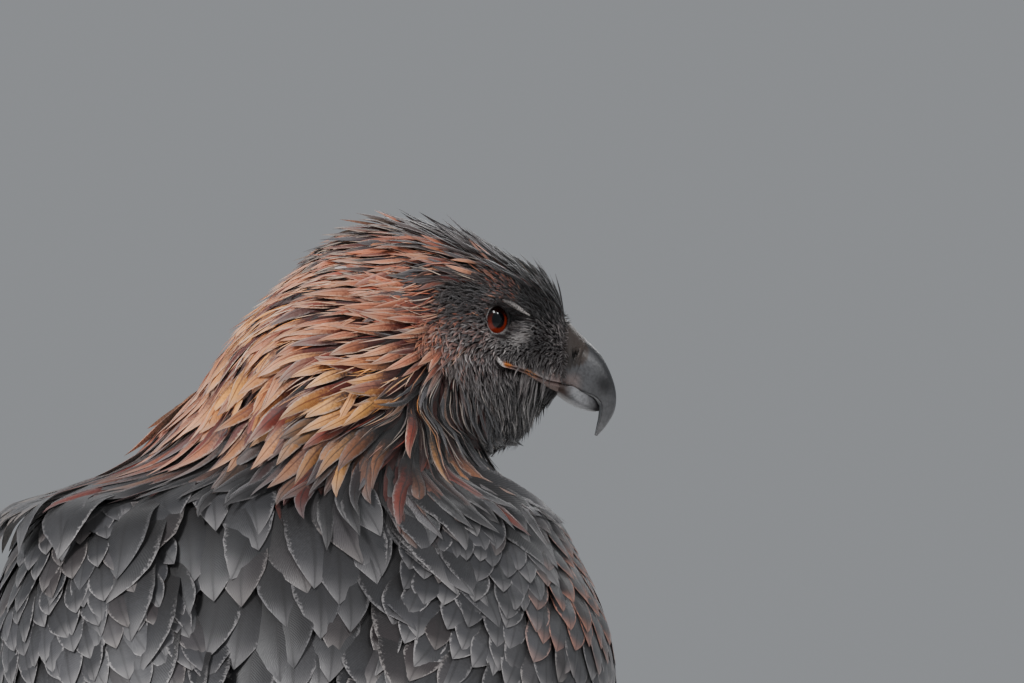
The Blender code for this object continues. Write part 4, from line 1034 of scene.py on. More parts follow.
def add_hackles():
    """Cover the neck in short dark feathers, and over them long pointed blades that part a little."""
    under, blades, barbs = Vanes(), Vanes(5), Vanes()
    s, a = scatter(BODY, (9.8, 13.9), (-180, 180), lambda s: 7.4 - 0.8 * (s - 10), lambda s: 5.6 - 0.6 * (s - 10))
    up = ramp(s, 10.6, 13.2)
    grow(under, BODY, s, a, 36 - 14 * up, 7.5 - 3.4 * up, -6.0 + 1.5 * up, -1.6, LANCE, shade_colours,
         neck_lie, 0.13, 0.2, 0.15, 0.1, 5, 0.0, shoulder_cover)
    s, a = scatter(BODY, (10.0, 14.0), (-180, 180), lambda s: 13.5 - 1.2 * (s - 10), lambda s: 6.0 - 0.75 * (s - 10), 0.48)
    p = body_place(s, a, 0.0)
    keep = ~((p[:, 0] < -62) & (p[:, 2] < 566)) | (np.abs(a) > 110)
    s, a = s[keep], a[keep]
    up = ramp(s, 10.6, 13.4)
    length = 45 - 11 * up + RNG.normal(0, 4, len(s))
    width = 7.6 - 4.0 * up + RNG.normal(0, 0.7, len(s))
    strap = strap_share(body_place(s, a, 0.0))
    width = width * (1 - 0.5 * strap)
    high = 1.4 - 3.2 * ramp(s, 11.2, 12.2) * ramp(70 - np.abs(a), 0, 35)
    grow(blades, BODY, s, a, length, width, -5.6 + 1.5 * up, high, LANCE, hackle_colours, neck_lie,
         0.12, 0.3, 0.24, 0.4, 14, 0.04, shoulder_cover)
    s, a = scatter(BODY, (10.3, 13.8), (-180, 180), 8.0, 4.5, 0.5)
    grow(barbs, BODY, s, a, 17 + RNG.normal(0, 3, len(s)), 0.5, -2.0, 1.2, STRAP, barb_colours, neck_lie,
         0.1, 0.5, 0.3, 0.3, 4, 0.0, shoulder_cover)
    finish = feather_material("hackle_plumage", (0.4, 0.84), 0.66, 230, 0.7, 0.42, 0.25, 0.3, 0.00003)
    loose = feather_material("barb_plumage", (0.0, 0.2), 0.6, 5, 0.0, 0.5, 0.3)
    for vanes, name, look in ((under, "hackles_under", finish), (blades, "hackles_long", finish),
                              (barbs, "hackle_barbs", loose)):
        vanes.make(name, look)


def head_regions(s, a):
    """Tell which roots on the head belong to the throat and which to the fine feathers of the face."""
    turn = np.abs(a)
    x, y = seen_places(body_place(s, a, 0.0))
    throat = (turn > 116 + 4 * np.sin(s * 5)) & (s > 13.2)
    cheek = (y < 3 - 0.1 * (x + 30)) & (x > -31 + 2.5 * np.sin(y * 0.9)) & (s > 12.6)
    temple = (x > -22) & (y < 15) & (turn > 50)
    face = ~throat & (cheek | temple | ((turn > 44) & (x > -3)))
    return throat, face


def face_lie(p, down, normal, s):
    """Let the feathers of the cheek and throat hang."""
    _, u, _ = face_places(p)
    share = 0.85 * ramp(-u, 8, 26)
    aim = -UP - 0.18 * FRONT
    aim = unit(aim - normal * np.sum(aim * normal, 1, keepdims=True))
    return unit(down * (1 - share)[:, None] + aim * share[:, None])


def add_head_feathers():
    """Cover the crown in pointed feathers, the face in short bristles and the throat in long ones."""
    under, crown, face, throat, barbs = Vanes(), Vanes(5), Vanes(), Vanes(), Vanes()
    s, a = scatter(BODY, (13.2, 18.7), (-180, 180), lambda s: 4.6 - 0.4 * (s - 13), lambda s: 2.5 - 0.2 * (s - 13))
    hangs, bare = head_regions(s, a)
    keep = clear_of_eyes(s, a, 2.6) & ~hangs & ~bare
    s, a = s[keep], a[keep]
    fine = ramp(s, 13.0, 18.4)
    grow(under, BODY, s, a, 19 - 12 * fine, 3.0 - 1.6 * fine, -3.0 + 1.6 * fine, -0.6 + 0.3 * fine, LANCE,
         shade_colours, neck_lie, 0.15, 0.3, 0.2, 0.2)
    s, a = scatter(BODY, (13.3, 18.7), (-180, 180), lambda s: 9.5 - 1.2 * (s - 13), lambda s: 2.6 - 0.22 * (s - 13), 0.48)
    hangs, bare = head_regions(s, a)
    keep = clear_of_eyes(s, a, 2.6) & ~hangs & ~bare
    s, a = s[keep], a[keep]
    fine = ramp(s, 13.0, 18.4)
    length = 30 - 19 * fine + RNG.normal(0, 2.5, len(s))
    width = 3.2 - 1.9 * fine + RNG.normal(0, 0.3, len(s))
    front = ramp(s, 16.9, 18.0) * ramp(80 - np.abs(a), 0, 25)
    crest = np.interp(s, (13.3, 13.9, 14.6, 15.5, 16.1, 16.6, 17.2), (-2.0, 1.5, 3.6, 5.0, 5.4, 3.0, 0.8))
    raised = crest * ramp(60 - np.abs(a), 0, 30) + 3.4 * front
    length += 3.0 * front
    grow(crown, BODY, s, a, length, width, -2.8 + 1.4 * fine + 0.9 * front, 1.2 - 0.3 * fine + raised, LANCE, crown_colours,
         neck_lie, 0.15, 0.4, 0.24, 0.35, 9, 0.05)
    s, a = scatter(BODY, (13.0, 18.6), (-180, 180), 5.5, 2.4, 0.5)
    hangs, bare = head_regions(s, a)
    keep = clear_of_eyes(s, a, 3.0) & ~hangs & ~bare
    s, a = s[keep], a[keep]
    fine = ramp(s, 13.0, 18.4)
    grow(barbs, BODY, s, a, 15 - 8 * fine + RNG.normal(0, 2, len(s)), 0.5 - 0.15 * fine, -1.0, 1.5, STRAP,
         barb_colours, neck_lie, 0.2, 0.5, 0.3, 0.5, 4)
    s, a = scatter(BODY, (12.7, 18.72), (-180, 180), 1.75, 1.15)
    hangs, bare = head_regions(s, a)
    bare = bare | ((np.abs(a) > 108) & (np.abs(a) < 126) & (s > 14.2))
    keep = clear_of_eyes(s, a, 0.9) & bare & clear_of_lips(body_place(s, a, 0.0))
    s, a = s[keep], a[keep]
    near = ramp(seen_places(body_place(s, a, 0.0))[0], -30, 14)
    grow(face, BODY, s, a, 9.5 - 5.5 * near + RNG.normal(0, 0.8, len(s)), 0.95 - 0.35 * near,
         -1.9 + 0.3 * near, 0.7, STRAP, crown_colours, face_lie, 0.3, 0.4, 0.3, 0.5, 4)
    x, y = (v.ravel() + RNG.uniform(-0.45, 0.45, v.size)
            for v in np.meshgrid(np.arange(-6.0, 7.0, 0.85), np.arange(-31.0, -13.0, 1.0)))
    s, a = seen_roots(x, y, (13.0, 16.2), (70, 150), 0.4)
    keep = clear_of_lips(body_place(s, a, 0.0))
    s, a = s[keep], a[keep]
    for sign in (1, -1):
        grow(face, BODY, s, a * sign, 5.0 + RNG.normal(0, 0.8, len(s)), 0.7, -0.8, 1.7, STRAP, crown_colours,
             face_lie, 0.3, 0.4, 0.3, 0.5, 4)
    s, w = scatter(SNOUT, (2.45, 3.3), (-5.2, 5.2), 1.1, 0.8, 0.5)
    top = ramp(3.2 - np.abs(w), 0, 1.4)
    grow(face, SNOUT, s, w, 3.4 + 2.6 * top + RNG.normal(0, 0.5, len(s)), 0.55, -0.8, 0.6 + 1.2 * top, STRAP,
         crown_colours, None, 0.35, 0.4, 0.3, 0.5, 4)
    s, a = scatter(BODY, (12.9, 18.6), (-180, 180), 2.6, 1.5)
    hangs, _ = head_regions(s, a)
    hangs &= clear_of_lips(body_place(s, a, 0.0))
    s, a = s[hangs], a[hangs]
    grow(throat, BODY, s, a, 16 - 6 * ramp(s, 16, 18.5) + RNG.normal(0, 2.5, len(s)), 1.1,
         -3.2, 0.6, STRAP, crown_colours, face_lie, 0.16, 0.4, 0.3, 0.5, 5)
    finish = feather_material("head_plumage", (0.2, 0.75), 0.5, 90, 0.4, 0.45, 0.25, 0.2, 0.00003)
    loose = feather_material("fine_plumage", (0.0, 0.25), 0.6, 5, 0.0, 0.5, 0.3)
    for vanes, name, look in ((under, "crown_under", finish), (crown, "crown_feathers", finish),
                              (barbs, "crown_barbs", loose), (face, "face_bristles", finish),
                              (throat, "throat_bristles", finish)):
        vanes.make(name, look)


def add_wing_coverts():
    """Cover the folded wings in coverts that grow towards the flight feathers."""
    v = Vanes(5)
    for sign, surface in WINGS.items():
        s, a = scatter(surface, (5.0, 9.45), (-0.02, 1.02), lambda s: 17.0 - 1.9 * (s - 5), lambda s: 15.0 - 1.5 * (s - 5))
        length = 46 - 4.8 * (s - 5) + RNG.normal(0, 2, len(s))
        width = 21 - 2.3 * (s - 5) + RNG.normal(0, 1, len(s))
        grow(v, surface, s, a, length, width, -3.4, 0.8, SPEAR, body_colours, None, 0.08, 0.08, 0.08, 0.1, 14, 0.01)
    v.make("wing_coverts", feather_material("covert_plumage", (0.2, 0.75), 0.82, 260, 0.35, 0.45, 0.2, 0.22, 0.00002))


def add_leg_feathers():
    """Cover the thighs in trousers and the lower legs in short down."""
    v, flank = Vanes(), Vanes()
    for sign in (1, -1):
        z, a = scatter(FLANKS[sign], (232, 300), (-290, -10) if sign > 0 else (10, 290), 7.0, 8.5)
        grow(flank, FLANKS[sign], z, a, 36 + RNG.normal(0, 3, len(z)), 11.5, -5.0, 1.2, SPEAR, body_colours,
             None, 0.1, 0.15, 0.14, 0.2, 7, 0.03)
        z, a = scatter(THIGHS[sign], (86, 270), (-180, 180), 8.0, 7.0)
        grow(v, THIGHS[sign], z, a, 34 + RNG.normal(0, 3, len(z)), 9.5, -3.4, 1.2, SPEAR, leg_colours, None, 0.12, 0.2,
             0.16, 0.3, 6, 0.03)
        z, a = scatter(TARSI[sign], (17, 96), (-180, 180), 3.6, 3.2)
        grow(v, TARSI[sign], z, a, 12 + RNG.normal(0, 1.2, len(z)), 3.0, -1.5, 0.8, STRAP, leg_colours, None, 0.15, 0.3)
    flank.make("flank_feathers", bpy.data.materials["breast_plumage"])
    v.make("leg_feathers_fine", feather_material("leg_plumage", (0.15, 0.6), 0.5, 200, 0.3, 0.6, 0.2, 0.12, 0.00003))


def caps(rows, ring):
    """Give the triangles that close a tube's ends at two points that follow its own."""
    turn = np.arange(ring)
    after = (turn + 1) % ring
    last = (rows - 1) * ring
    return np.concatenate([np.stack([after, turn, np.full(ring, rows * ring)], 1),
                           np.stack([last + turn, last + after, np.full(ring, rows * ring + 1)], 1)])


class Plates:
    """A growing set of large feathers, each a thin closed plate."""

    def __init__(self, cells):
        self.points, self.quads, self.tris = [], [], []
        self.bake, self.tint, self.rim, self.vane = [], [], [], []
        self.count = 0
        self.cells = cells
        self.made = 0

    def add(self, top, low, tint, rim):
        """Add a plate from its upper and lower grids of rows and columns, from root to tip."""
        rows, columns = top.shape[:2]
        ring = 2 * columns - 2
        points = np.concatenate([top, low[:, -2:0:-1]], 1)
        ends = np.stack([points[0].mean(0), points[-1].mean(0)])
        self.points += [points.reshape(-1, 3), ends]
        quads, tris = face_out(np.concatenate(self.points[-2:]), grid_faces(rows, ring, True), caps(rows, ring))
        self.quads.append(quads + self.count)
        self.tris.append(tris + self.count)
        u = np.linspace(-1, 1, columns)
        u = np.concatenate([u, u[-2:0:-1]])
        v = np.linspace(0, 1, rows)
        grid_v, grid_u = np.meshgrid(v, u, indexing="ij")
        flat_u, flat_v = np.append(grid_u.ravel(), (0, 0)), np.append(grid_v.ravel(), (0, 1))
        column, row = self.made % self.cells, self.made // self.cells
        cell = 1.0 / self.cells
        spot = np.stack([(column + 0.5 + 0.42 * flat_u) * cell, (row + 0.05 + 0.9 * flat_v) * cell], -1)
        self.bake.append(spot)
        n = len(flat_u)
        self.vane.append(np.stack([flat_u * 0.5 + 0.5, flat_v, np.full(n, RNG.random())], -1))
        self.tint.append(np.tile(tint, (n, 1)))
        self.rim.append(np.tile(rim, (n, 1)))
        self.count += n
        self.made += 1

    def make(self, name, material):
        """Make the mesh."""
        made = make_mesh(name, np.concatenate(self.points), np.concatenate(self.quads),
                         np.concatenate(self.tris), {"OFBake": np.concatenate(self.bake)},
                         {"tint": np.concatenate(self.tint), "rim": np.concatenate(self.rim),
                          "vane": np.concatenate(self.vane)})
        made.data.materials.append(material)
        return made


PLATE_ROWS = 30
PLATE_COLUMNS = 9
QUILL = ((5.3, 4.5, 3.8, 3.2, 2.8), (-4.0, 1.2, 2.2, 2.8, 3.0), 1.5, 0.05)


def vane_outline(v, point=0.16):
    """Give a long feather's half width along its length, as a share of the widest."""
    root = 0.35 + 0.65 * ramp(v, 0.0, 0.35)
    tip = np.sqrt(np.clip(1 - ((v - 1 + point) / point).clip(0, 1) ** 2, 0, 1))
    return root * np.maximum(tip, 0.02)


def wing_blade(plates, sign, middle, half, s_root, s_tip, lifts, tilt, tint, rim):
    """Lay one long feather on a folded wing, from root to tip station."""
    v = np.linspace(0, 1, PLATE_ROWS)[:, None]
    u = np.linspace(-1, 1, PLATE_COLUMNS)[None, :]
    s = s_root + (s_tip - s_root) * v + 0 * u
    share = vane_outline(v) * u
    q = middle + half * share + 0.004 * np.sin(9 * v + middle * 40)
    lift = np.interp(v, np.linspace(0, 1, len(lifts)), lifts) + tilt * share - 0.5 * share ** 2
    ridge = 0.5 * np.exp(-(u / 0.12) ** 2)
    top = wing_place(sign)(s, q, lift + 0.35 + ridge)
    low = wing_place(sign)(s, q, lift - 0.35 - 0.4 * ridge)
    plates.add(top, low, tint, rim)


def add_flight_feathers():
    """Lay the secondaries, primaries and greater coverts of both wings."""
    plates = Plates(10)
    for sign in (1, -1):
        for count, s_root, s_tip, shorten, lifts, tilt in (
                (7, 4.3, 0.25, 0.12, (-4.5, -1.5, 1.0, 1.6, 1.8, 2.0), 1.1),
                (9, 5.5, 2.75, 0.06, (-3.6, 1.2, 2.2, 2.6, 2.8, 3.0), 1.3),
                (9, 6.3, 4.3, 0.0, (-3.4, 1.2, 3.0, 3.8, 4.2, 4.3), 1.2)):
            for k in range(count):
                half = 0.68 / count
                middle = half + (1 - 2 * half) * k / (count - 1)
                tone = mix(CHARCOAL, UMBER, np.array(RNG.uniform(0.2, 0.6))) * RNG.uniform(0.75, 1.15)
                wing_blade(plates, sign, middle, half, s_root, s_tip + shorten * k, lifts, tilt, tone,
                           mix(SLATE, UMBER, np.array(0.3)))
    made = plates.make("flight_feathers", quill_material("flight_plumage"))


def quill_material(name, bars=0.0):
    """Make long feathers: faint bars, pale rims, a darker shaft and fine barbs."""
    m = Nodes(name, 0.42)
    m.shader.inputs["Specular IOR Level"].default_value = 0.4
    m.shader.inputs["Sheen Weight"].default_value = 0.1
    vane = m.node("ShaderNodeSeparateColor")
    m.put(vane.inputs[0], m.attribute("vane"))
    across, along, dice = vane.outputs
    out = m.math("MULTIPLY", m.math("ABSOLUTE", m.math("SUBTRACT", across, 0.5)), 2.0)
    tint, rim = m.attribute("tint"), m.attribute("rim")
    rough = m.noise(500.0)
    edge = m.math("MAXIMUM", m.ramp(out, 0.84, 1.0), m.ramp(along, 0.95, 1.0))
    colour = m.mix(m.math("MULTIPLY", edge, m.ramp(rough, 0.3, 0.6)), tint, rim)
    wave = m.math("SINE", m.math("ADD", m.math("MULTIPLY", along, 34.0), m.math("MULTIPLY", rough, 2.5)))
    colour = m.mix(m.math("MULTIPLY", m.ramp(wave, 0.1, 0.9), 0.2 + bars), colour, tuple(SOOT))
    slant = m.math("ADD", m.math("MULTIPLY", along, 420.0), m.math("MULTIPLY", out, -60.0))
    line = m.math("SINE", m.math("ADD", slant, m.math("MULTIPLY", rough, 4.0)))
    colour = m.mix(m.math("MULTIPLY", m.ramp(line, 0.0, 1.0), 0.25), colour, tuple(SOOT))
    shaft = m.math("SUBTRACT", 1.0, m.ramp(out, 0.03, 0.09), clamp=True)
    colour = m.mix(m.math("MULTIPLY", shaft, 0.6), colour, tuple(UMBER * 0.5))
    m.bump(line, 0.00015)
    return m.colour(colour)


TAIL_START = np.array([0.0, 125.0, 215.0])
TAIL_TIP = np.array([0.0, 360.0, 25.0])
TAIL_FAN = 1.55
TAIL_QUILL_GAP = 4.2
TAIL_HALF = 23.0
TAIL_LENGTH = float(np.linalg.norm(TAIL_TIP - TAIL_START))
TAIL_ALONG = (TAIL_TIP - TAIL_START) / TAIL_LENGTH
TAIL_FACE = np.cross((1.0, 0.0, 0.0), TAIL_ALONG)


def tail_blade(plates, root, turn, start, reach, half, level, sag, tint, rim, arch=0.0):
    """Lay one tail feather from its place across, its turn outward and its reach."""
    v = np.linspace(0, 1, PLATE_ROWS)[:, None]
    u = np.linspace(-1, 1, PLATE_COLUMNS)[None, :]
    heading = math.radians(turn)
    aim = TAIL_ALONG * math.cos(heading) + np.array([math.sin(heading), 0.0, 0.0])
    across = np.array([math.cos(heading), 0.0, 0.0]) - TAIL_ALONG * math.sin(heading)
    share = vane_outline(v, 0.1) * u
    distance = start + (reach - start) * v + 0 * u
    ridge = 0.5 * np.exp(-(u / 0.12) ** 2)
    height = level - sag * half * np.abs(share) + arch * np.sin(np.pi * v) + 0 * u
    spot = (TAIL_START + np.array([root, 0.0, 0.0]) + aim * distance[..., None]
            + across * (half * share)[..., None])
    top = spot + TAIL_FACE * (height + 0.35 + ridge)[..., None]
    low = spot + TAIL_FACE * (height - 0.35 - 0.4 * ridge)[..., None]
    plates.add(top, low, tint, rim)


def add_tail():
    """Lay the twelve tail feathers, with the coverts over and under them."""
    plates = Plates(8)
    level = 0.0
    for pair in range(6):
        for sign in (1, -1):
            tone = mix(CHARCOAL, UMBER, np.array(0.5)) * RNG.uniform(0.8, 1.2)
            tail_blade(plates, sign * (1.2 + TAIL_QUILL_GAP * pair), sign * (0.6 + TAIL_FAN * pair), 60,
                       TAIL_LENGTH - 1.6 * pair ** 2, TAIL_HALF, level, 0.0, tone, SLATE)
            level -= 1.25 if pair < 3 or sign < 0 else 0.0
    for place, turn, reach in ((31, 8, 118), (-31, -8, 118), (17, 4, 136), (-17, -4, 136), (0, 0, 150)):
        tail_blade(plates, place, turn, 12, reach, 14, 3.4 - abs(place) * 0.07, 0.05,
                   mix(UMBER, CHARCOAL, np.array(0.5)), SLATE, 2.0)
    for place, turn, reach in ((16, 4, 134), (-16, -4, 134), (0, 0, 150)):
        tail_blade(plates, place, turn, 14, reach, 14, -16.0, 0.0, mix(UMBER, CREAM, np.array(0.2)), CREAM, -2.0)
    plates.make("tail_feathers", quill_material("tail_plumage", 0.25))


def horn_piece(name, rings, section, colours, relief, steps=48):
    """Skin the bill's rings smoothly, with a relief and colours from formulas."""
    rows = np.array(rings, float)
    across = np.array(section, float)
    t = np.linspace(0, len(rows) - 1, steps)
    w = np.linspace(0, len(across) - 1, 30)
    ring = curve_at(rows, t)
    side = curve_at(across, w)
    share = np.concatenate([side[:, 0], -side[-2:0:-1, 0]])
    drop = np.concatenate([side[:, 1], side[-2:0:-1, 1]])
    a = ring[:, None, 0] + (ring[:, None, 2] - ring[:, None, 0]) * drop
    b = ring[:, None, 1] + (ring[:, None, 3] - ring[:, None, 1]) * drop
    half = ring[:, None, 4] * share
    points = outline_point(a, b, half)
    points = relief(points, a, b, half)
    columns = len(share)
    ends = np.stack([points[0].mean(0), points[-1].mean(0)])
    turn = np.arange(columns)
    tint = colours(np.append(a.ravel(), (a[0].mean(), a[-1].mean())), np.append(b.ravel(), (b[0].mean(), b[-1].mean())))
    grid_v, grid_u = np.meshgrid(t / t[-1], turn / columns, indexing="ij")
    home = np.stack([np.append(grid_u.ravel(), (0, 0)), np.append(grid_v.ravel(), (0, 1))], -1)
    points = np.concatenate([points.reshape(-1, 3), ends])
    faces = face_out(points, grid_faces(steps, columns, True), caps(steps, columns))
    return make_mesh(name, points, *faces, {"OFBake": home}, {"tint": tint})


def cere_share(a, b):
    """Tell how much of the cere's skin covers a place: its front edge is round and ends low down."""
    edge = np.interp(b, (-22, -19.5, -17, -13, -9, -5), (24, 34.5, 37.2, 38.0, 36.6, 33.5))
    return ramp(edge - a, -0.5, 0.7)


def cere_tint(a, b):
    """Colour the cere: dull brown-grey, darker in and around the nostril and pale at the lip."""
    x, y = (a - 31.4) * 0.87 + (b + 14.8) * 0.49, (b + 14.8) * 0.87 - (a - 31.4) * 0.49
    # The nostril's pit is painted near-black, painted shade inside the opening.
    pit = 1 - ramp(np.hypot(x / 2.3, y / 1.0), 0.5, 1.1)
    tint = mix(srgb(62, 50, 43), srgb(24, 20, 19), 0.8 * blob(a, b, 30, -18, 3.5, 5))
    return mix(tint, srgb(10, 7, 6), pit)


def bill_tint(a, b):
    """Colour the upper bill: grey, darker on the culmen, paler at the hook."""
    top = np.interp(a, (37, 43.4, 48.2, 50.7), (-7.7, -14.2, -22.8, -31.4))
    tint = mix(srgb(84, 84, 86), srgb(34, 34, 37), ramp(b - top, -7, -1))
    cloud = np.exp(-((a - 45) / 4) ** 2 - ((b + 28) / 4.5) ** 2)
    tint = mix(tint, srgb(26, 25, 26), np.clip(cloud, 0, 0.85))
    tint = mix(tint, srgb(128, 127, 128), ramp(-b, 41, 50) * 0.7)
    tint = mix(tint, srgb(134, 118, 114), ramp(-b, 22, 26) * ramp(36 - a, 0, 6) * 0.8)
    return mix(tint, cere_tint(a, b), cere_share(a, b))


def add_bill():
    """Make the two halves of the bill and the cere with its nostrils."""
    still = lambda points, a, b, half: points
    upper = horn_piece("bill_upper_horn", BILL_RINGS, BILL_SECTION, bill_tint, still, 60)
    # The lower bill is brown at its root, pale grey in its middle, partly its paler horn and partly a painted
    # highlight, and darker towards its tip.
    lower = horn_piece("bill_lower_horn", LOWER_BILL_RINGS, LOWER_SECTION,
                       lambda a, b: mix(mix(srgb(92, 76, 70), srgb(150, 150, 152), ramp(a, 26, 31)), srgb(62, 60, 62),
                                    ramp(a, 34, 42)), still)
    horn = Nodes("bill_horn", 0.36)
    streak = horn.noise(700.0, 4.0)
    horn.shader.inputs["Coat Weight"].default_value = 0.1
    horn.shader.inputs["Coat Roughness"].default_value = 0.2
    horn.bump(streak, 0.00015)
    tone = horn.mix(horn.math("MULTIPLY", horn.ramp(streak, 0.35, 0.7), 0.35), horn.attribute("tint"), tuple(SOOT))
    for piece, node in ((upper, "bill_upper"), (lower, "bill_lower")):
        piece.data.materials.append(horn.colour(tone))
        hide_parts(node)

    def nostril(points, a, b, half):
        """Press the two slanted nostrils in, under a soft rim."""
        x, y = (a - 31.4) * 0.87 + (b + 14.8) * 0.49, (b + 14.8) * 0.87 - (a - 31.4) * 0.49
        r = np.hypot(x / 2.6, y / 1.05)
        press = 2.6 * (1 - ramp(r, 0.45, 1.0)) - 0.45 * np.exp(-((r - 1.35) / 0.35) ** 2)
        return points - RIGHT * (np.sign(half) * press * (np.abs(half) > 6))[..., None]

    cere = horn_piece("cere_skin", CERE_RINGS, BILL_SECTION, bill_tint, nostril, 56)
    soft = Nodes("cere_skin", 0.42)
    grain = soft.noise(1800.0, 4.0)
    soft.shader.inputs["Subsurface Weight"].default_value = 0.1
    soft.shader.inputs["Subsurface Radius"].default_value = (0.002, 0.001, 0.0005)
    soft.bump(grain, 0.0003)
    cere.data.materials.append(soft.colour(soft.mix(soft.math("MULTIPLY", grain, 0.4), soft.attribute("tint"),
                                                    tuple(SOOT))))
    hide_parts("cere")


PUPIL_RADIUS = 3.5
IRIS_RADIUS = 6.6


def eye_outline(r):
    """Give the eyeball's height over its middle at distances from its axis: its flat front."""
    front = EYE_RADIUS - EYE_CURVE + np.sqrt(EYE_CURVE ** 2 - np.minimum(r, 7.0) ** 2)
    return front


def add_eyes():
    """Make the eyeballs, with a dark pupil in an orange-red iris, the lids and the bare brows."""
    ball = Nodes("eye_surface", 0.1)
    ball.shader.inputs["Specular IOR Level"].default_value = 0.1
    ball.shader.inputs["Coat Weight"].default_value = 1.0
    ball.shader.inputs["Coat Roughness"].default_value = 0.02
    ball.shader.inputs["Coat IOR"].default_value = 1.4
    ball.colour(ball.attribute("tint"))
    lid_skin = Nodes("lid_skin", 0.5)
    grain = lid_skin.noise(2200.0, 4.0)
    lid_skin.bump(grain, 0.0004)
    ring_skin = Nodes("lid_ring", 0.45)
    beads = ring_skin.noise(1500.0, 4.0)
    ring_skin.bump(beads, 0.0005)
    lid_ring = ring_skin.colour(ring_skin.mix(ring_skin.math("MULTIPLY", ring_skin.ramp(beads, 0.3, 0.6), 0.5),
                                              ring_skin.attribute("tint"), tuple(CHARCOAL)))
    lid_skin.colour(lid_skin.mix(lid_skin.ramp(grain, 0.35, 0.65), tuple(srgb(58, 54, 54)), tuple(srgb(156, 150, 146))))
    for side, sign in (("right", 1), ("left", -1)):
        axis, middle = eye_axis(sign), eye_centre(sign)
        first = unit(np.cross(axis, UP))
        second = np.cross(axis, first)
        r, t = np.meshgrid(np.linspace(0.02, 7.0, 40), np.linspace(0, 2 * np.pi, 97)[:-1], indexing="ij")
        height = eye_outline(r)
        back_r = 7.0 * np.cos(np.linspace(0.15, 1.5, 12))
        back = eye_outline(7.0) - 7.0 * np.sin(np.linspace(0.15, 1.5, 12))
        r = np.concatenate([r, np.tile(back_r[:, None], (1, 96))])
        height = np.concatenate([height, np.tile(back[:, None], (1, 96))])
        t = np.tile(t[0], (len(r), 1))
        out = (first * np.cos(t)[..., None] + second * np.sin(t)[..., None]) * r[..., None]
        points = (middle + axis * height[..., None] + out).reshape(-1, 3)
        across, turn = r.ravel(), t.ravel()
        streaks = 0.5 + 0.5 * np.sin(turn * 37 + 3 * np.sin(across * 2)) * np.sin(turn * 17)
        iris = mix(srgb(168, 50, 20), srgb(84, 22, 11), streaks * 0.6 + 0.4 * ramp(across, 4.6, IRIS_RADIUS))
        # Painted shade: the iris darkens towards its back and turns near-black at its top under the brow; it is
        # brightest at the front and below.
        aside = (points - middle) @ (0.75 * FRONT - 0.65 * UP)
        iris = mix(srgb(40, 15, 12), iris, ramp(aside, -3.5, 4.0))
        iris = mix(iris, srgb(18, 9, 8), 0.95 * ramp((points - middle) @ UP, -0.5, 3.6))
        iris = mix(iris, srgb(60, 20, 12), 0.6 * (1 - ramp(across, PUPIL_RADIUS, PUPIL_RADIUS + 0.9)))
        tint = mix(srgb(6, 9, 15), iris, ramp(across, PUPIL_RADIUS - 0.15, PUPIL_RADIUS + 0.25))
        tint = mix(tint, srgb(14, 9, 8), ramp(across, IRIS_RADIUS - 0.5, IRIS_RADIUS))
        home = np.stack([turn / (2 * np.pi), across / 8], -1)
        eye = make_mesh(f"eyeball_{side}", points, *face_out(points, grid_faces(len(r), 96, True), NO_TRIS),
                        {"OFBake": home}, {"tint": tint})
        eye.data.materials.append(ball.material)
        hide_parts(f"eye_{side}")

        turn, roll = np.meshgrid(np.linspace(0, 2 * np.pi, 121)[:-1], np.linspace(0, 2 * np.pi, 17)[:-1], indexing="ij")
        out = first * np.cos(turn)[..., None] + second * np.sin(turn)[..., None]
        rough = 0.1 * np.sin(turn * 31) + 0.08 * np.sin(turn * 53 + 2 * roll)
        ring = EYE_OPENING + 0.75 + (1.0 + rough) * np.cos(roll)
        lid = (middle + axis * (LID_REACH + 0.35)) + out * ring[..., None] + axis * ((0.65 + rough) * np.sin(roll))[..., None]
        rows = grid_faces(121, 16, True)
        rows = np.where(rows >= 120 * 16, rows - 120 * 16, rows)
        # Painted light and shade: the lid ring is pale at the back and below, near-black at the front and top in the
        # hollow's shade.
        painted_light = ramp((out @ (-0.75 * FRONT - 0.5 * UP)).ravel(), -0.5, 0.3)
        lid = lid.reshape(-1, 3)
        made = make_mesh(f"eyelids_{side}", lid, *face_out(lid, rows, NO_TRIS),
                         {"OFBake": np.stack([turn.ravel() / 6.3, roll.ravel() / 6.3], -1)},
                         {"tint": mix(srgb(26, 24, 25), srgb(196, 190, 186), painted_light)})
        made.data.materials.append(lid_ring)

        share = np.linspace(0, 1, 30)
        marks = np.stack([0.8 + 13.0 * share, 8.8 - 6.9 * share ** 1.25 + 0.5 * np.sin(np.pi * share)], 1)
        _, _, (spots, _, _, normal) = face_spots(marks, sign, 1.2)
        girths = 1.15 * np.sin(np.pi * (0.06 + 0.9 * share)) ** 0.7 * (1 + 0.08 * np.sin(share * 60))
        brow = closed(f"brow_{side}", tube(spots + normal * 0.8, girths, 12, 0.0))
        brow.data.materials.append(lid_skin.material)


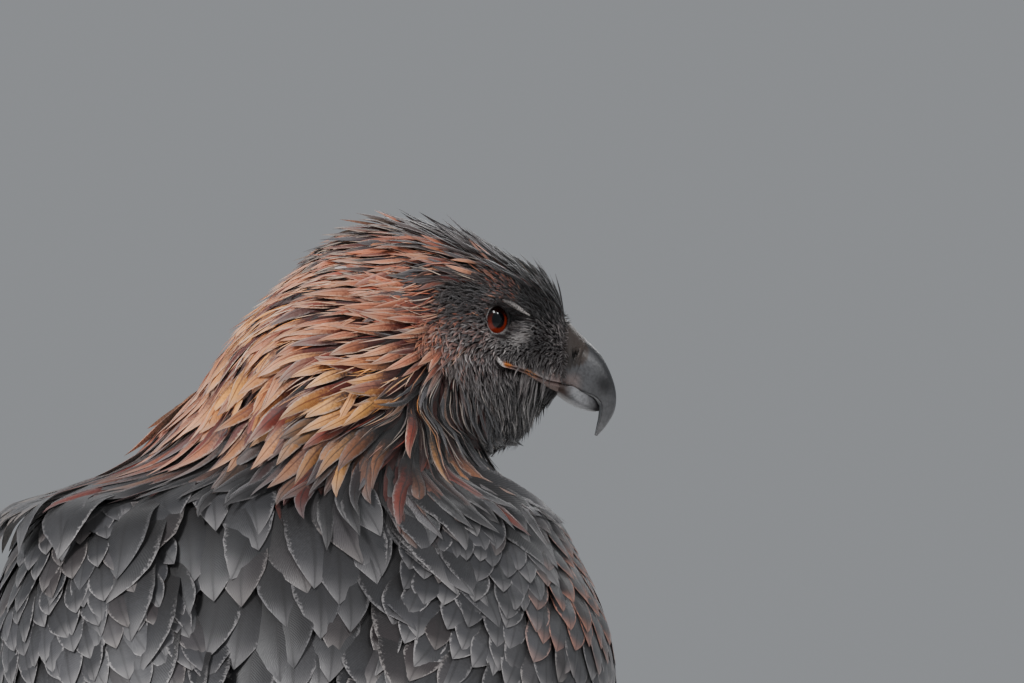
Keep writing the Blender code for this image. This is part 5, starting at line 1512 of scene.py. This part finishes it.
def add_lips():
    """Make the bare lips: pinkish-grey skin along the mouth, with its pale and orange corner."""
    skin = Nodes("lip_skin", 0.42)
    grain = skin.noise(1700.0, 5.0)
    skin.bump(grain, 0.0004)
    skin.colour(skin.mix(skin.math("MULTIPLY", skin.ramp(grain, 0.35, 0.65), 0.45), skin.attribute("tint"), tuple(UMBER)))
    for side, sign in (("right", 1), ("left", -1)):
        s, turn = np.meshgrid(np.linspace(13.2, 18.93, 180), np.linspace(62, 150, 190), indexing="ij")
        p = body_place(s, turn, 0.0)
        a, above, lips = mouth_places(p)
        groove = np.exp(-(above / 0.4) ** 2)
        swell = np.exp(-((np.abs(above) - 1.1) / 0.7) ** 2)
        height = -3.6 + lips * (3.7 + 1.3 * ramp(10 - a, 0, 6) - 1.3 * groove * ramp(a, 1, 4) + 0.4 * swell)
        tint = mix(np.broadcast_to(srgb(150, 132, 128), p.shape), srgb(112, 92, 84), ramp(-above, 0.2, 1.5))
        tint = mix(tint, srgb(196, 190, 188), blob(a, above, 19, 1.6, 2.5, 0.8))
        tint = mix(tint, srgb(62, 54, 54), 1 - ramp(lips, 0.4, 0.9))
        tint = mix(tint, srgb(70, 34, 24), groove * ramp(a, 4, 9))
        tint = mix(tint, srgb(226, 140, 40), np.clip(1.6 * blob(a, above, 13.6, 0.4, 2.0, 0.9), 0, 1))
        tint = mix(tint, srgb(232, 226, 222), np.clip(2.0 * blob(a, above, 0.6, 0.0, 1.5, 1.4), 0, 1))
        tint = mix(tint, srgb(226, 130, 36), np.clip(1.8 * blob(a, above, 3.2, 0.6, 1.7, 0.8), 0, 1))
        points = body_place(s, turn * sign, height).reshape(-1, 3)
        faces = face_out(points, grid_faces(180, 190, False), NO_TRIS, 1, PUPIL - RIGHT * PUPIL_SIDE)
        made = make_mesh(f"lips_{side}", points, *faces,
                         {"OFBake": BODY.unwrap(s, turn * sign).reshape(-1, 2)}, {"tint": tint.reshape(-1, 3)})
        made.data.materials.append(skin.material)


PALM_RADIUS = 18.5
PALM_HEIGHT = 15.0
SCUTES = 11
TOES = (
    ("inner", -37, 42, 8.6, 48, 6.4),
    ("middle", 6, 60, 8.2, 38, 5.2),
    ("outer", 51, 45, 7.6, 30, 4.6),
    ("hind", 176, 33, 9.0, 56, 7.0),
)


def tube(path, girths, sides, floor, scale=None):
    """Place the points of a bent tube through a path, over a floor."""
    along = unit(np.gradient(path, axis=0))
    first = unit(np.cross(along, UP))
    second = np.cross(first, along)
    t = 2 * np.pi * (np.arange(sides) + 0.5) / sides
    ring = first[:, None] * np.cos(t)[None, :, None] + second[:, None] * np.sin(t)[None, :, None]
    reach = girths[:, None] * (np.ones((len(path), sides)) if scale is None else scale(t))
    points = path[:, None] + ring * reach[..., None]
    points[..., 2] = np.maximum(points[..., 2], floor)
    return points


def closed(name, rows):
    """Make a closed mesh from rings of points."""
    steps, columns = rows.shape[:2]
    ends = np.stack([rows[0].mean(0), rows[-1].mean(0)])
    turn = np.arange(columns)
    v, u = np.meshgrid(np.linspace(0, 1, steps), turn / columns, indexing="ij")
    home = np.stack([np.append(u.ravel(), (0, 0)), np.append(v.ravel(), (0, 1))], -1)
    vane = np.stack([home[:, 0], home[:, 1], 0 * home[:, 0]], -1)
    points = np.concatenate([rows.reshape(-1, 3), ends])
    faces = face_out(points, grid_faces(steps, columns, True), caps(steps, columns))
    return make_mesh(name, points, *faces, {"OFBake": home}, {"vane": vane})


def add_feet():
    """Make the toes with their scutes and pads, the balls of the feet and the claws."""
    skin = Nodes("foot_skin", 0.45)
    grain = skin.noise(1200.0, 4.0)
    cells = skin.node("ShaderNodeTexVoronoi", feature="DISTANCE_TO_EDGE")
    cells.inputs["Scale"].default_value = 420.0
    skin.put(cells.inputs["Vector"], skin.node("ShaderNodeTexCoord").outputs["Object"])
    crease = skin.ramp(cells.outputs["Distance"], 0.0, 0.12)
    tone = skin.mix(grain, tuple(srgb(212, 160, 60)), tuple(srgb(188, 128, 44)))
    skin.bump(crease, 0.0003)
    skin.colour(skin.mix(skin.math("MULTIPLY", skin.math("SUBTRACT", 1.0, crease), 0.6), tone, tuple(srgb(120, 78, 30))))
    horn = Nodes("claw_horn", 0.25)
    streak = horn.noise(600.0)
    horn.bump(streak, 0.0002)
    horn.colour(horn.mix(streak, tuple(srgb(16, 15, 16)), tuple(srgb(58, 54, 54))))
    for side, sign in (("right", 1), ("left", -1)):
        palm = np.array([-FOOT_X * sign, FOOT_Y, 0.0])
        r, t = np.meshgrid(np.linspace(0.05, np.pi - 0.05, 24), np.linspace(0, 2 * np.pi, 49)[:-1], indexing="ij")
        ball = palm + UP * PALM_HEIGHT + np.stack(
            [PALM_RADIUS * np.sin(r) * np.cos(t), PALM_RADIUS * np.sin(r) * np.sin(t), PALM_HEIGHT * np.cos(r)], -1)
        ball[..., 2] = np.maximum(ball[..., 2], 0.0)
        foot = closed(f"palm_{side}", ball)
        foot.data.materials.append(skin.material)
        for name, heading, length, girth, claw_length, claw_girth in TOES:
            turn = math.radians(heading * sign)
            out = np.array([-math.sin(turn), -math.cos(turn), 0.0])
            share = np.linspace(0, 1, 8 * SCUTES + 1)
            pad = np.abs(np.sin(np.pi * (share * 3 + 0.12)))
            size = girth * np.minimum(1.0, 0.74 + share) * (1 - 0.2 * share) * (0.86 + 0.16 * pad)
            size *= 1 - 0.06 * ramp(share, 0.97, 1.0)
            height = size * 0.92 + 2.2 * (1 - share) ** 2 + 1.5 * np.sin(np.pi * share)
            path = palm + out * (PALM_RADIUS - 4.0 + (length + 5.5) * share)[:, None] + UP * height[:, None]
            step = (share * SCUTES) % 1.0

            def scutes(t, step=step):
                """Raise each scute's front edge on the toe's upper half."""
                upper = ramp(np.sin(t), 0.1, 0.55)[None, :]
                return 1 + upper * (0.1 * step ** 2 - 0.03)[:, None]

            toe = closed(f"toe_{name}_{side}_skin", tube(path, size, 28, 0.0, scutes))
            toe.data.materials.append(skin.material)
            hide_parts(f"toe_{name}_{side}")

            bend, rise = math.radians(128), math.radians(34)
            radius = claw_length / bend
            at = bend * np.linspace(0, 1, 30)
            forward = radius * (math.sin(rise) + np.sin(at - rise))
            up = radius * (np.cos(at - rise) - math.cos(rise))
            path = path[-1] + out * (forward - 0.6)[:, None] + UP * up[:, None]
            girths = claw_girth * (1 - np.linspace(0, 1, 30) * 5 / 5.6) ** 0.8
            drop = max(0.0, 0.4 - (path[:, 2] - girths).min())
            path = path + UP * (drop * np.linspace(0, 1, 30) ** 2)[:, None]
            claw = closed(f"claw_{name}_{side}_horn", tube(path, girths, 20, 0.3))
            claw.data.materials.append(horn.material)
            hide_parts(f"claw_{name}_{side}")


def add_stage():
    """Make the pale floor, the soft lights and the camera."""
    bpy.ops.mesh.primitive_plane_add(size=30.0, location=(0.0, 0.0, 0.0))
    floor = bpy.context.object
    floor.name = "floor"
    paper = Nodes("pale_floor", 0.8)
    paper.bump(paper.noise(40.0), 0.0005)
    place = paper.node("ShaderNodeVectorMath", operation="LENGTH")
    paper.put(place.inputs[0], paper.node("ShaderNodeTexCoord").outputs["Object"])
    paper.put(paper.shader.inputs["Alpha"], paper.math("SUBTRACT", 1.0, paper.ramp(place.outputs["Value"], 1.0, 7.0)))
    floor.data.materials.append(paper.colour((0.62, 0.62, 0.62, 1.0)))
    world = bpy.data.worlds.new("studio")
    bpy.context.scene.world = world
    world.use_nodes = True
    world.node_tree.nodes["Background"].inputs["Color"].default_value = (0.75, 0.78, 0.82, 1.0)
    world.node_tree.nodes["Background"].inputs["Strength"].default_value = 0.36
    for name, place, aim, size, power in (
            ("key", (1.9, 1.9, 2.5), (0.0, 0.0, 0.45), 0.8, 120.0),
            ("fill", (-1.3, 2.3, 2.9), (0.0, 0.0, 0.45), 0.7, 26.0),
            ("glint_high", (-2.72, 1.14, 2.1), (-0.08, -0.15, 0.6), 0.4, 9.0),
            ("glint_low", (-3.13, 0.36, 1.77), (-0.08, -0.15, 0.6), 0.3, 4.0),
            ("rim", (-0.8, -2.4, 2.2), (0.0, 0.0, 0.4), 1.6, 40.0)):
        light = bpy.data.lights.new(name, "AREA")
        light.size = size
        light.energy = power
        lamp = bpy.data.objects.new(name, light)
        bpy.context.scene.collection.objects.link(lamp)
        lamp.location = place
        gaze = unit(np.array(aim) - np.array(place))
        lamp.rotation_euler = (math.acos(-gaze[2]), 0.0, math.atan2(gaze[1], gaze[0]) - math.pi / 2)
    camera = bpy.data.objects.new("camera", bpy.data.cameras.new("camera"))
    camera.data.lens = 200.0
    camera.data.sensor_width = 36.0
    camera.location = (-0.0886, 2.30, 0.595)
    camera.rotation_euler = (math.radians(90), 0.0, math.radians(180))
    bpy.context.scene.collection.objects.link(camera)
    bpy.context.scene.camera = camera


add_skin()
add_body_feathers()
add_hackles()
add_head_feathers()
add_wing_coverts()
add_leg_feathers()
add_flight_feathers()
add_tail()
add_bill()
add_eyes()
add_lips()
add_feet()
add_stage()
